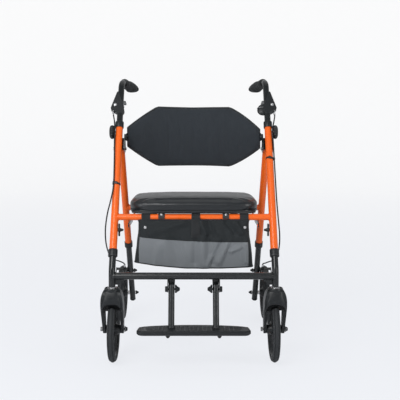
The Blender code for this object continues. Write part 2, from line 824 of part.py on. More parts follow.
def build_rear_lower_legs(rear):
    """The black lower tubes of the rear legs with their collars, cross drilled for the axle and the brake."""
    for label, side in SIDES:
        top = rear_point(REAR_LENGTH - REAR_COLLAR_FROM_AXLE - REAR_TUBE_OVERLAP, side)
        end = rear_point(REAR_LENGTH + REAR_TAIL, side)
        along = (end - top).normalized()
        start = rear_point(REAR_LENGTH - REAR_COLLAR_FROM_AXLE, side)
        collar = shape_of(turned, collar_profile(INNER_TUBE_RADIUS - WELD_DEPTH), start + along * SEAT_GAP, -along)
        leg = welded("rear_lower_leg_" + label, [shape_of(rod, top, end, INNER_TUBE_RADIUS), collar], "black_paint", rear)
        holes = bmesh.new()
        rod(holes, top - along * 0.01, end + along * 0.01, INNER_TUBE_RADIUS - INNER_TUBE_WALL, BORE_SEGMENTS)
        bored(leg, "rear_lower_bore_" + label, holes)
        cross = bmesh.new()
        for from_axle in (0.0, BRAKE_FROM_AXLE):
            place = rear_point(REAR_LENGTH - from_axle, side)
            reach = X_AXIS * 0.03
            rod(cross, place - reach, place + reach, AXLE_RADIUS + SEAT_GAP, segments=10)
        bored(leg, "rear_lower_holes_" + label, cross)


def build_rear_axles(rear):
    """Shouldered axle bolts through the rear lower legs."""
    for label, side in SIDES:
        leg_face = REAR_FOOT_X + INNER_TUBE_RADIUS + SEAT_GAP
        hub_inner = REAR_WHEEL_X - HUB_WIDTH / 2.0 - SEAT_GAP
        hub_outer = REAR_WHEEL_X + HUB_WIDTH / 2.0 + SEAT_GAP
        nut_face = REAR_FOOT_X - INNER_TUBE_RADIUS - SEAT_GAP
        head = AXLE_HEAD_HEIGHT
        profile = (
            (0.0, hub_outer + head), (AXLE_HEAD_RADIUS * 0.6, hub_outer + head),
            (AXLE_HEAD_RADIUS, hub_outer + head * 0.5), (AXLE_HEAD_RADIUS, hub_outer), (AXLE_RADIUS, hub_outer),
            (AXLE_RADIUS, hub_inner), (AXLE_HEAD_RADIUS, hub_inner), (AXLE_HEAD_RADIUS, leg_face),
            (AXLE_RADIUS, leg_face), (AXLE_RADIUS, nut_face), (0.0075, nut_face), (0.0075, nut_face - 0.0055),
            (0.0, nut_face - 0.0055),
        )
        bm = shape_of(turned, profile, (0.0, REAR_AXLE.y, REAR_AXLE.z), (side, 0, 0), 10)
        add_object("rear_axle_" + label, bm, "steel", rear)


def build_wheel(label, centre, body, front):
    """A moulded spoked rim and a tyre that seats on it."""
    prefix = "front" if front else "rear"
    hub_width = FORK_INSIDE - 2 * RUNNING_GAP if front else HUB_WIDTH
    seat_radius = WHEEL_RADIUS - TYRE_DEPTH
    half = TYRE_WIDTH / 2.0
    shoulder = WHEEL_RADIUS - 0.011
    tyre_profile = [(seat_radius + SEAT_GAP, -RIM_WIDTH / 2.0), (shoulder, -half)]
    tyre_profile += [(WHEEL_RADIUS - 0.0035, -half * 0.60), (WHEEL_RADIUS, -half * 0.16)]
    tyre_profile += [(radius, -height) for radius, height in reversed(tyre_profile)]
    bm = shape_of(turned, tyre_profile, centre, X_AXIS, WHEEL_SEGMENTS)
    add_object(prefix + "_tyre_" + label, bm, "tyre", body)
    bore = AXLE_RADIUS + RUNNING_GAP
    rim_half = RIM_WIDTH / 2.0
    web_half = WEB_THICKNESS / 2.0
    rim_inner = seat_radius - RIM_WALL
    rim_profile = [
        (bore, -hub_width / 2.0),
        (HUB_RADIUS - 0.005, -hub_width / 2.0),
        (HUB_RADIUS, -web_half),
        (rim_inner - 0.002, -web_half),
        (rim_inner, -rim_half),
        (seat_radius, -rim_half),
    ]
    rim_profile += [(radius, -height) for radius, height in reversed(rim_profile)]
    bm = shape_of(turned, rim_profile, centre, X_AXIS, WHEEL_SEGMENTS)
    rim = add_object(prefix + "_rim_" + label, bm, "black_plastic", body)
    windows = bmesh.new()
    inner_radius = HUB_RADIUS + 0.006
    outer_radius = rim_inner - 0.005
    half_spoke = SPOKE_WIDTH / 2.0
    for index in range(SPOKE_COUNT):
        middle = 2.0 * math.pi * (index + 0.5) / SPOKE_COUNT
        outline = []
        corners = ((inner_radius, -1.0), (outer_radius - 0.006, -1.0), (outer_radius, -0.78))
        corners += ((outer_radius, 0.0), (outer_radius, 0.78), (outer_radius - 0.006, 1.0), (inner_radius, 1.0))
        for radius, share in corners:
            spread = math.pi / SPOKE_COUNT - math.asin(half_spoke / radius)
            turn = middle + share * spread
            outline.append((radius * math.cos(turn), radius * math.sin(turn)))
        matrix = frame_matrix(centre, (0, 1, 0), (0, 0, 1))
        prism(windows, outline, matrix, HUB_WIDTH)
    bored(rim, prefix + "_rim_windows_" + label, windows)


def brake_plane(x):
    """Places an outline drawn in (forward, out from the axle) at x."""
    return frame_matrix((x, REAR_AXLE.y, REAR_AXLE.z), REAR_FORWARD, -REAR_DOWN)


def brake_point(forward, out, x):
    """A point by its forward and outward distances from the rear axle."""
    return Vector((x, 0.0, 0.0)) + REAR_AXLE + REAR_FORWARD * forward - REAR_DOWN * out


def brake_faces(side):
    """The middle planes of the brake bracket's inner and outer cheeks."""
    inner = rear_x(REAR_LENGTH - BRAKE_FROM_AXLE) + INNER_TUBE_RADIUS + SEAT_GAP + 0.0012
    outer = REAR_WHEEL_X + TYRE_WIDTH / 2.0 - 0.0015
    return side * inner, side * outer


def build_brake_brackets(rear):
    """Channels over the rear tyres, bolted to the legs, each with a cable stop and the pin of its shoe."""
    for label, side in SIDES:
        inner, outer = brake_faces(side)
        cheeks = bmesh.new()
        cheek = round_outline((
            (0.0, BRAKE_FROM_AXLE + 0.004, 0.0120),
            (SHOE_PIN_FORWARD, SHOE_PIN_FROM_AXLE, 0.0060),
        ))
        prism(cheeks, cheek, brake_plane(inner), 0.0024)
        lug = round_outline((
            (0.0, BRAKE_FROM_AXLE + 0.0120, 0.0040),
            (SHOE_PIN_FORWARD, SHOE_PIN_FROM_AXLE, 0.0060),
        ))
        prism(cheeks, lug, brake_plane(outer), 0.0024)
        low = BRAKE_FROM_AXLE + 0.0108
        web = ((-0.0025, low), (0.012, low), (0.012, low + 0.0024), (-0.0025, low + 0.0024))
        web_shape = shape_of(prism, web, brake_plane((inner + outer) / 2.0), abs(outer - inner) + 0.0018)
        stop = brake_point(CABLE_STOP_FORWARD, CABLE_STOP_AT, 0.0)
        tall = CABLE_STOP_HEIGHT
        profile = ((0.0, 0.0), (0.0052, 0.0), (0.0052, tall - 0.002), (0.0040, tall), (0.0, tall))
        stop_shape = shape_of(turned, profile, (side * CABLE_END_X, stop.y, stop.z), -REAR_DOWN, 10)
        place = rear_point(REAR_LENGTH - BRAKE_FROM_AXLE, side)
        bolt = bmesh.new()
        headed_pin(
            bolt, (inner + side * 0.0010, place.y, place.z),
            (place.x - side * (INNER_TUBE_RADIUS + SEAT_GAP), place.y, place.z),
            AXLE_RADIUS, 0.0070, 0.0030,
        )
        pin = brake_point(SHOE_PIN_FORWARD, SHOE_PIN_FROM_AXLE, 0.0)
        pin_shape = shape_of(
            rod, (inner - side * 0.0003, pin.y, pin.z), (outer + side * 0.0030, pin.y, pin.z), LEVER_PIN_RADIUS, 10,
        )
        shapes = [cheeks, web_shape, stop_shape, bolt, pin_shape]
        welded("brake_bracket_" + label, shapes, "steel", rear)


def build_brake_shoe(label, side, body):
    """A curved pad on an arm that swings down on the tyre."""
    inner, outer = brake_faces(side)
    middle = (inner + outer) / 2.0
    pad_inner = WHEEL_RADIUS + SHOE_REST_GAP
    spread = 0.115
    arc = []
    for step in range(9):
        turn = -spread + 2.0 * spread * step / 8
        arc.append((pad_inner * math.sin(turn), pad_inner * math.cos(turn)))
    for step in range(9):
        turn = spread - 2.0 * spread * step / 8
        radius = pad_inner + SHOE_THICKNESS
        arc.append((radius * math.sin(turn), radius * math.cos(turn)))
    pad = shape_of(prism, arc, brake_plane(middle), SHOE_WIDTH)
    arm = round_outline((
        (SHOE_PIN_FORWARD, SHOE_PIN_FROM_AXLE, 0.0050),
        (0.006, WHEEL_RADIUS + SHOE_REST_GAP + 0.0058, 0.0024),
    ))
    arm_shape = shape_of(prism, arm, brake_plane(middle), SHOE_WIDTH * 0.6)
    shoe = welded("brake_shoe_" + label, [pad, arm_shape], "black_plastic", body)
    bore = bmesh.new()
    pin = brake_point(SHOE_PIN_FORWARD, SHOE_PIN_FROM_AXLE, 0.0)
    rod(
        bore, (middle - 0.03, pin.y, pin.z), (middle + 0.03, pin.y, pin.z),
        LEVER_PIN_RADIUS + RUNNING_GAP, segments=10,
    )
    bored(shoe, "shoe_bore_" + label, bore)


def brace_pins():
    """The front, middle and rear pins of the side braces."""
    front = FRONT_BAR + Vector((0.0, 0.006, -BRACE_PIN_DROP))
    rear = REAR_BAR + Vector((0.0, -0.006, -BRACE_PIN_DROP))
    return front, (front + rear) / 2.0, rear


def build_braces(front_body, rear_body):
    """Flat links, two on each side, side by side at the middle pin."""
    front, middle, rear = brace_pins()
    half = BRACE_WIDTH / 2.0
    layers = ((front_body, "front_brace_", front, -1.0), (rear_body, "rear_brace_", rear, 1.0))
    for body, prefix, end, layer in layers:
        for label, side in SIDES:
            x = side * (BRACE_X + layer * (BRACE_THICKNESS + MOVING_GAP) / 2.0)
            outline = round_outline(((end.y, end.z, half), (middle.y, middle.z, half)))
            link = add_object(prefix + label, shape_of(prism, outline, side_matrix(x), BRACE_THICKNESS), "black_paint", body)
            hole = bmesh.new()
            rod(
                hole, (side * 0.20, end.y, end.z), (side * 0.26, end.y, end.z),
                BRACE_PIN_RADIUS + RUNNING_GAP, segments=10,
            )
            bored(link, prefix + "hole_" + label, hole)


def brace_lug_shapes(front):
    """Lugs under a seat bar, and the headed pins in them that the braces turn on."""
    front_pin, _, rear_pin = brace_pins()
    bar, end = (FRONT_BAR, front_pin) if front else (REAR_BAR, rear_pin)
    layer = -1.0 if front else 1.0
    lugs = bmesh.new()
    pins = bmesh.new()
    for _, side in SIDES:
        link_x = BRACE_X + layer * (BRACE_THICKNESS + MOVING_GAP) / 2.0
        toward = -layer
        link_face = link_x + toward * (BRACE_THICKNESS / 2.0 + 0.0005)
        lug_x = link_face + toward * LUG_THICKNESS / 2.0
        outline = round_outline(((end.y, end.z, 0.008), (bar.y, bar.z - 0.004, 0.007)))
        prism(lugs, outline, side_matrix(side * lug_x), LUG_THICKNESS)
        head_face = link_x - toward * (BRACE_THICKNESS / 2.0 + 0.0006)
        profile = (
            (0.0, 0.0), (BRACE_PIN_RADIUS, 0.0), (BRACE_PIN_RADIUS, abs(head_face - lug_x)),
            (BRACE_PIN_RADIUS * 1.9, abs(head_face - lug_x)), (BRACE_PIN_RADIUS * 1.5, abs(head_face - lug_x) + 0.0018),
            (0.0, abs(head_face - lug_x) + 0.0018),
        )
        turned(pins, profile, (side * lug_x, end.y, end.z), (-side * toward, 0, 0), 10)
    return lugs, pins


def cushion_ring(bm, level, inset, pull):
    """One level of the cushion: a rounded rectangle drawn in by an inset."""
    half_x = SEAT_HALF_WIDTH - inset
    half_y = SEAT_DEPTH / 2.0 - inset
    centre_y = FRONT_BAR.y - SEAT_FRONT_OVERHANG + SEAT_DEPTH / 2.0
    radius = max(CUSHION_CORNER - inset * 0.6, 0.020)
    points = rounded_rectangle(half_x, half_y, radius, pull=pull)
    return [bm.verts.new((x, centre_y + y, level)) for x, y in points]


def build_seat(seat):
    """The board, the crowned cushion, and the clips that hold it on the seat bars."""
    board_low = FRONT_BAR.z + SEAT_BOARD_LIFT
    board_high = board_low + SEAT_BOARD_THICKNESS
    base = board_high + SEAT_GAP
    centre_y = FRONT_BAR.y - SEAT_FRONT_OVERHANG + SEAT_DEPTH / 2.0
    bm = bmesh.new()
    levels = (
        (0.00, 0.012, 0.0),
        (0.05, 0.005, 0.001),
        (0.22, 0.001, 0.003),
        (0.45, 0.000, 0.004),
        (0.66, 0.003, 0.004),
        (0.82, 0.011, 0.003),
        (0.92, 0.027, 0.002),
        (0.98, 0.058, 0.0),
        (1.00, 0.105, 0.0),
    )
    rings = [cushion_ring(bm, base + share * CUSHION_HEIGHT, inset, pull) for share, inset, pull in levels]
    skin(bm, rings)
    add_object("seat_cushion", bm, "vinyl", seat)
    clips = bmesh.new()
    rests = bmesh.new()
    inner = CROSSBAR_RADIUS + SEAT_GAP
    outer = inner + CLIP_WALL
    for x in (-CLIP_X, CLIP_X):
        points = []
        for radius, start, sweep in ((inner, 200.0, -310.0), (outer, -110.0, 310.0)):
            for step in range(17):
                turn = math.radians(start + sweep * step / 16)
                points.append((FRONT_BAR.y + radius * math.cos(turn), FRONT_BAR.z + radius * math.sin(turn)))
        prism(clips, points, side_matrix(x), CLIP_WIDTH)
        low, high = math.radians(40.0), math.radians(110.0)
        rest = [(REAR_BAR.y + 0.014, board_low + 0.001), (REAR_BAR.y - 0.009, board_low + 0.001)]
        for step in range(9):
            turn = high + (low - high) * step / 8
            rest.append((REAR_BAR.y + inner * math.cos(turn), REAR_BAR.z + inner * math.sin(turn)))
        prism(rests, rest, side_matrix(x), CLIP_WIDTH)
    outline = rounded_rectangle(SEAT_HALF_WIDTH - 0.014, SEAT_DEPTH / 2.0 - 0.010, 0.040, steps=4)
    board = bmesh.new()
    prism(board, outline, Matrix.Translation((0, centre_y, (board_low + board_high) / 2.0)), SEAT_BOARD_THICKNESS)
    welded("seat_board", [board, clips, rests], "board", seat)


def backrest_half_height(x):
    """Half the height of the band at a distance from its middle."""
    reach = abs(x)
    if reach <= BACKREST_FLAT_HALF:
        return BACKREST_HALF_HEIGHT
    share = (reach - BACKREST_FLAT_HALF) / (BACKREST_HALF_WIDTH - BACKREST_FLAT_HALF)
    drop = BACKREST_HALF_HEIGHT - BACKREST_END_HALF_HEIGHT
    return BACKREST_HALF_HEIGHT - drop * (0.72 * share + 0.28 * share ** 2)


def build_backrest(body):
    """A padded band bowed to the rear between two flat arms."""
    pivot = front_point(BACKREST_PIVOT_AT, 0.004)
    end_y = pivot.y + BACKREST_SET_BACK
    bm = bmesh.new()
    rings = []
    stations = 22
    for index in range(stations + 1):
        x = BACKREST_HALF_WIDTH * math.sin(math.pi * (index / stations - 0.5))
        middle_y = end_y + BACKREST_BOW * (1.0 - (x / BACKREST_HALF_WIDTH) ** 2)
        half_height = backrest_half_height(x)
        edge = min(1.0, (1.0 - abs(x) / BACKREST_HALF_WIDTH) / 0.06)
        half_depth = BACKREST_THICKNESS / 2.0 * (0.45 + 0.55 * math.sqrt(edge))
        slope = -2.0 * BACKREST_BOW * x / BACKREST_HALF_WIDTH ** 2
        lean = min(1.0, (1.0 - abs(x) / BACKREST_HALF_WIDTH) / 0.15)
        normal = Vector((-slope * lean, 1.0, 0.0)).normalized()
        ring = []
        for step in range(14):
            turn = 2.0 * math.pi * (step + 0.5) / 14
            across = math.copysign(abs(math.cos(turn)) ** 0.6, math.cos(turn)) * half_depth
            up = math.copysign(abs(math.sin(turn)) ** 0.75, math.sin(turn)) * half_height
            place = Vector((x, middle_y, pivot.z)) + normal * across
            place.z += up
            ring.append(bm.verts.new(place))
        rings.append(ring)
    skin(bm, rings)
    add_object("backrest_pad", bm, "pad_cloth", body)
    for label, side in SIDES:
        x = side * (BACKREST_HALF_WIDTH + SEAT_GAP + BACKREST_ARM_WALL / 2.0)
        outline = round_outline(((pivot.y, pivot.z, 0.012), (end_y + 0.002, pivot.z, 0.016)))
        arm = add_object("backrest_arm_" + label, shape_of(prism, outline, side_matrix(x), BACKREST_ARM_WALL), "black_plastic", body)
        hole = bmesh.new()
        rod(
            hole, (side * 0.24, pivot.y, pivot.z), (side * 0.27, pivot.y, pivot.z),
            HINGE_PIN_RADIUS + RUNNING_GAP, segments=10,
        )
        bored(arm, "backrest_arm_hole_" + label, hole)


def bag_ring(bm, level, front_level, inset, share):
    """One level of the bag: sides lean out and the panels belly as share goes from 0 at the top to 1."""
    half_x = BAG_TOP_HALF + (BAG_BOTTOM_HALF - BAG_TOP_HALF) * share - inset
    front = FRONT_BAR.y - CROSSBAR_RADIUS - 0.001 - 0.012 * math.sin(math.pi * share) + inset
    rear = FRONT_BAR.y + 0.010 + BAG_DEPTH + 0.006 * math.sin(math.pi * share) - inset
    centre_y = (front + rear) / 2.0
    half_y = (rear - front) / 2.0
    ring = []
    for x, y in rounded_rectangle(half_x, half_y, 0.018, steps=2):
        forward = 0.5 - 0.5 * y / half_y
        ring.append(bm.verts.new((x, centre_y + y, level + (front_level - level) * forward)))
    return ring


def build_bag(root):
    """The cloth bag under the seat, open at the top, with its front panel higher than the rear one."""
    bm = bmesh.new()
    outer = []
    inner = []
    for share in (0.0, 0.25, 0.5, 0.8, 1.0):
        level = BAG_REAR_TOP_Z + (BAG_BOTTOM_Z - BAG_REAR_TOP_Z) * share
        front = BAG_TOP_Z + (BAG_BOTTOM_Z - BAG_TOP_Z) * share
        inset = 0.012 if share == 1.0 else 0.0
        outer.append(bag_ring(bm, level, front, inset, share))
        lift = BAG_WALL if share == 1.0 else 0.0
        inner.append(bag_ring(bm, level + lift, front + lift, inset + BAG_WALL, share))
    skin(bm, inner[::-1] + outer, close=True)
    straps = bmesh.new()
    inner_radius = CROSSBAR_RADIUS + SEAT_GAP
    for x in STRAP_X:
        strap_loop(straps, FRONT_BAR, x, inner_radius, inner_radius + STRAP_THICKNESS)
    welded("bag", [bm, straps], "bag_cloth", root)


def strap_loop(bm, bar, x, inner_radius, outer_radius):
    """Webbing over a bar: a half turn above it, a tail down its front into the bag, and a short rear tail."""
    inner = []
    outer = []
    for step in range(9):
        turn = math.radians(180.0 * step / 8)
        inner.append((bar.y + inner_radius * math.cos(turn), bar.z + inner_radius * math.sin(turn)))
        outer.append((bar.y + outer_radius * math.cos(turn), bar.z + outer_radius * math.sin(turn)))
    tail_low = BAG_TOP_Z - 0.012
    inner.append((bar.y - inner_radius, tail_low))
    outer.append((bar.y - outer_radius, tail_low))
    prism(bm, inner + outer[::-1], side_matrix(x), STRAP_WIDTH)


def handle_matrix(side):
    """The place of a handle's corner, with its v axis along the grip."""
    corner_at = (HANDLE_CORNER_Z - LEG_BEND_Z) / FRONT_UP.z
    corner = front_point(corner_at, 0.0, side * FRONT_LEG_X)
    return Matrix.Translation(corner) @ Matrix.Rotation(side * HANDLE_TOE_IN, 4, "Z")


def build_handle(label, side, body):
    """The sliding post with its bend, the moulded grip and the brake housing."""
    matrix = handle_matrix(side)
    corner = matrix.translation
    x = side * FRONT_LEG_X
    end = matrix @ Vector((0.0, HANDLE_LENGTH, -HANDLE_DROOP * HANDLE_LENGTH))
    start = front_point(UPPER_COLLAR_AT - POST_INSERTION, 0.0, x)
    path = fillet_path((start, corner, end), HANDLE_BEND_RADIUS, steps=6)
    post = add_object("handle_post_" + label, shape_of(tube, path, INNER_TUBE_RADIUS), "black_paint", body)
    bore = shape_of(rod, start - FRONT_UP * 0.01, path[1], INNER_TUBE_RADIUS - INNER_TUBE_WALL, BORE_SEGMENTS)
    bored(post, "handle_post_bore_" + label, bore)
    build_grip(label, side, body, matrix)
    build_housing(label, side, body)


def grip_ring(bm, matrix, along, radius_out, radius_in, radius_up, inward, inner=False):
    """One section of the grip: an egg that reaches inward for the palm."""
    ring = []
    for step in range(16):
        turn = 2.0 * math.pi * (step + 0.5) / 16
        across = math.cos(turn)
        reach = radius_in if across < 0 else radius_out
        if inner:
            u = across * radius_out
        else:
            u = across * reach
        w = math.sin(turn) * radius_up
        centre_drop = -HANDLE_DROOP * along
        ring.append(bm.verts.new(matrix @ Vector((u * inward, along, w + centre_drop))))
    return ring


def build_grip(label, side, body, matrix):
    """A moulded grip whose rear end widens inwards into a palm rest."""
    bm = bmesh.new()
    first = HANDLE_LENGTH - GRIP_LENGTH
    sections = (
        (0.00, 1.00, 1.00, 0.95),
        (0.06, 1.12, 1.12, 1.08),
        (0.12, 0.98, 0.98, 0.98),
        (0.40, 1.02, 1.06, 1.05),
        (0.62, 1.06, 1.25, 1.12),
        (0.80, 1.12, 1.75, 1.25),
        (0.92, 1.08, 2.05, 1.18),
        (1.00, 0.85, 1.70, 0.95),
        (1.03, 0.50, 0.90, 0.55),
    )
    outer = []
    for share, out, inward, up in sections:
        along = first + share * GRIP_LENGTH
        radii = (GRIP_RADIUS * out, GRIP_RADIUS * inward, GRIP_RADIUS * up)
        outer.append(grip_ring(bm, matrix, along, *radii, side))
    bore = INNER_TUBE_RADIUS + SEAT_GAP
    deep = HANDLE_LENGTH + 4 * SEAT_GAP
    inner = [grip_ring(bm, matrix, along, bore, bore, bore, side, inner=True) for along in (deep, first)]
    skin(bm, inner + outer)
    add_object("grip_" + label, bm, "black_plastic", body)


def build_housing(label, side, body):
    """The brake housing: a clamp round the post, a bulge for the cable and two ears for the lever."""
    x = side * FRONT_LEG_X
    matrix = frame_matrix(front_point(HOUSING_AT, 0.0, x), (side, 0, 0), FRONT_UP)
    clamp = INNER_TUBE_RADIUS + 0.0045
    bm = bmesh.new()
    outline = round_outline((
        (0.0, 0.004, clamp),
        (HOUSING_BULGE, 0.014, 0.0105),
        (0.004, 0.030, clamp - 0.001),
        (0.0105, 0.082, 0.0055),
    ))
    prism(bm, outline, matrix, HOUSING_DEPTH)
    housing = add_object("brake_housing_" + label, bm, "black_plastic", body)
    soften(housing, 0.0035, segments=1)
    ears = bmesh.new()
    half = LEVER_WIDTH / 2.0 + 0.0005
    ear_wall = 0.003
    for shift in (-1.0, 1.0):
        ear = round_outline((
            (LEVER_PIVOT_AT, LEVER_PIVOT_OFFSET, 0.0075),
            (LEVER_PIVOT_AT - 0.010, 0.006, 0.010),
        ))
        prism(ears, ear, leg_plane(x + shift * (half + ear_wall / 2.0)), ear_wall)
    combine(housing, add_cutter("housing_ears_" + label, ears), "UNION")
    bore = bmesh.new()
    rod(bore, front_point(0.55, 0.0, x), front_point(0.78, 0.0, x), INNER_TUBE_RADIUS + SEAT_GAP)
    combine(housing, add_cutter("housing_bore_" + label, bore), "DIFFERENCE")
    pin = front_point(LEVER_PIVOT_AT, LEVER_PIVOT_OFFSET)
    hole = bmesh.new()
    rod(hole, (x - 0.03, pin.y, pin.z), (x + 0.03, pin.y, pin.z), LEVER_PIN_RADIUS + SEAT_GAP, segments=10)
    combine(housing, add_cutter("housing_pin_hole_" + label, hole), "DIFFERENCE")


def build_lever(label, side, body):
    """The brake lever: an eye on its pin and a curved blade under the grip."""
    x = side * FRONT_LEG_X
    pin = front_point(LEVER_PIVOT_AT, LEVER_PIVOT_OFFSET)
    points = []
    widths = []
    for step in range(13):
        share = step / 12
        along = LEVER_LENGTH * share
        lift = 0.016 * math.sin(math.pi * share * 0.9) + 0.010 * share
        points.append((pin.y + along, pin.z + lift))
        widths.append(0.0065 - 0.0020 * share + 0.0012 * math.sin(math.pi * 6.0 * share) * share)
    blade = shape_of(prism, ribbon_outline(points, widths), side_matrix(x), LEVER_WIDTH - 0.0004)
    eye = shape_of(prism, round_outline(((pin.y, pin.z, 0.0074),)), side_matrix(x), LEVER_WIDTH)
    lever = welded("brake_lever_" + label, [blade, eye], "black_plastic", body)
    bore = bmesh.new()
    rod(bore, (x - 0.03, pin.y, pin.z), (x + 0.03, pin.y, pin.z), LEVER_PIN_RADIUS + RUNNING_GAP, segments=10)
    bored(lever, "lever_bore_" + label, bore)


def ribbed_disc(radius, ribs, depth):
    """The outline of a knob with round ribs."""
    points = []
    for step in range(ribs * 3):
        turn = 2.0 * math.pi * step / (ribs * 3)
        reach = radius - depth * (0.5 - 0.5 * math.cos(ribs * turn))
        points.append((reach * math.cos(turn), reach * math.sin(turn)))
    return points


def build_height_knob(label, side, body):
    """A ribbed knob on a screw that clamps the handle post."""
    place = front_point(KNOB_AT)
    inner = FRONT_LEG_X + LEG_RADIUS + 0.0045
    bm = bmesh.new()
    matrix = frame_matrix((side * (inner + KNOB_THICKNESS / 2.0), place.y, place.z), (0, 1, 0), (0, 0, 1))
    prism(bm, ribbed_disc(KNOB_RADIUS, KNOB_RIBS, 0.0022), matrix, KNOB_THICKNESS)
    knob = add_object("height_knob_" + label, bm, "black_plastic", body)
    soften(knob, 0.0022, segments=1, angle=60.0)
    screw = bmesh.new()
    start = side * (FRONT_LEG_X + INNER_TUBE_RADIUS + 0.0003)
    rod(screw, (start, place.y, place.z), (side * (inner + 0.006), place.y, place.z), KNOB_SCREW_RADIUS, segments=10)
    combine(knob, add_cutter("knob_screw_" + label, screw), "UNION")


def build_wing_screw(label, side, body):
    """A screw with two wings on the inner side of a front leg."""
    place = front_point(WING_AT)
    face = FRONT_LEG_X - LEG_RADIUS - 0.0010
    start = (side * (FRONT_LEG_X - INNER_TUBE_RADIUS - 0.0003), place.y, place.z)
    screw = shape_of(rod, start, (side * (face - 0.012), place.y, place.z), WING_SCREW_RADIUS, 10)
    hub = shape_of(rod, (side * face, place.y, place.z), (side * (face - 0.014), place.y, place.z), 0.0075, 10)
    reach = WING_SPAN / 2.0
    half_side = [(0.006, 0.0035), (reach - 0.004, 0.0075), (reach, 0.004), (reach - 0.003, -0.004), (0.006, -0.0045)]
    wings = half_side + [(-u, v) for u, v in reversed(half_side)]
    middle = (side * (face - 0.0085), place.y, place.z)
    wing_shape = shape_of(prism, wings, frame_matrix(middle, FRONT_UP, (-side, 0, 0)), 0.0065)
    welded("wing_screw_" + label, [hub, screw, wing_shape], "black_plastic", body)


def build_caster(label, side, swivel, wheel):
    """A fork with a domed crown and slotted cheeks, its stem and axle, and a wheel."""
    x = side * FRONT_LEG_X
    bm = bmesh.new()
    side_view = round_outline((
        (STEM_Y, FORK_CROWN_Z - FORK_CROWN_RADIUS, FORK_CROWN_RADIUS),
        (STEM_Y + 0.006, FORK_SHOULDER_Z, 0.024),
        (FRONT_AXLE_Y, WHEEL_RADIUS, FORK_END_RADIUS),
    ), steps=18)
    prism(bm, side_view, side_matrix(x), FORK_OUTSIDE + 0.02)
    fork = add_object("caster_fork_" + label, bm, "black_plastic", swivel)
    front = bmesh.new()
    outside = FORK_OUTSIDE / 2.0
    inside = FORK_INSIDE / 2.0
    crown = FORK_CROWN_WIDTH / 2.0
    bottom = WHEEL_RADIUS - FORK_END_RADIUS - 0.01
    outline = [(outside - 0.003, bottom), (outside, FORK_SHOULDER_Z - 0.02)]
    for step in range(8):
        turn = math.radians(90.0 * step / 7)
        u = crown - 0.006 + (outside - crown + 0.006) * math.cos(turn)
        v = FORK_SHOULDER_Z + (FORK_CROWN_Z - 0.001 - FORK_SHOULDER_Z) * math.sin(turn)
        outline.append((u, v))
    outline.append((crown - 0.010, FORK_CROWN_Z))
    outline += [(-u, v) for u, v in reversed(outline)]
    arch = [(-inside, bottom)]
    rounding = 0.014
    for step in range(6):
        turn = math.radians(180.0 - 90.0 * step / 5)
        arch.append((-inside + rounding + rounding * math.cos(turn), FORK_ARCH_Z - rounding + rounding * math.sin(turn)))
    arch += [(-u, v) for u, v in reversed(arch)]
    outline += arch
    prism(front, outline, frame_matrix((x, STEM_Y, 0.0), (1, 0, 0), (0, 0, 1)), 0.3)
    combine(fork, add_cutter("fork_front_view_" + label, front), "INTERSECT")
    holes = bmesh.new()
    axle = Vector((x, FRONT_AXLE_Y, WHEEL_RADIUS))
    reach = X_AXIS * 0.06
    rod(holes, axle - reach, axle + reach, AXLE_RADIUS + SEAT_GAP, segments=10)
    slot_top = Vector((x, STEM_Y + 0.018, FORK_SHOULDER_Z - 0.028))
    slot_end = Vector((x, FRONT_AXLE_Y - 0.011, WHEEL_RADIUS + 0.032))
    slot = round_outline((
        (slot_top.y, slot_top.z, FORK_SLOT_RADIUS * 1.7),
        (slot_end.y, slot_end.z, FORK_SLOT_RADIUS),
    ), steps=16)
    prism(holes, slot, side_matrix(x), 0.12)
    bored(fork, "fork_holes_" + label, holes)
    stem = shape_of(rod, (x, STEM_Y, FORK_CROWN_Z - 0.02), (x, STEM_Y, STEM_TOP_Z), STEM_RADIUS, 16)
    combine(fork, add_cutter("fork_stem_" + label, stem), "UNION")
    bm = bmesh.new()
    face = FORK_OUTSIDE / 2.0 - 0.0012
    headed_pin(
        bm, (x + face + 0.0015, axle.y, axle.z), (x - face - 0.0015, axle.y, axle.z),
        AXLE_RADIUS, AXLE_HEAD_RADIUS, 0.0075,
    )
    add_object("caster_axle_" + label, bm, "steel", swivel)
    build_wheel(label, axle, wheel, front=True)


def foot_pivot():
    """The pivot line of the footrest."""
    return Vector((0.0, STEM_Y - 0.012, FOOT_PIVOT_Z))


def footplate_outline():
    """The plan of the footplate: straight front, rounded ends, a gently curved rear edge."""
    front = FOOTPLATE_FRONT_Y
    rear = front + FOOTPLATE_DEPTH
    reach = FOOTPLATE_HALF_WIDTH
    rounding = 0.022
    points = []
    for step in range(6):
        turn = math.radians(-90.0 + 90.0 * step / 5)
        points.append((reach - rounding + rounding * math.cos(turn), front + rounding + rounding * math.sin(turn)))
    for step in range(11):
        share = step / 10
        x = reach - 0.004 - share * (reach - 0.004)
        bulge = (1.0 - (x / (reach - 0.004)) ** 2)
        points.append((x, rear - 0.030 + 0.030 * bulge ** 0.7))
    mirrored = [(-x, y) for x, y in reversed(points[:-1])]
    return points + mirrored


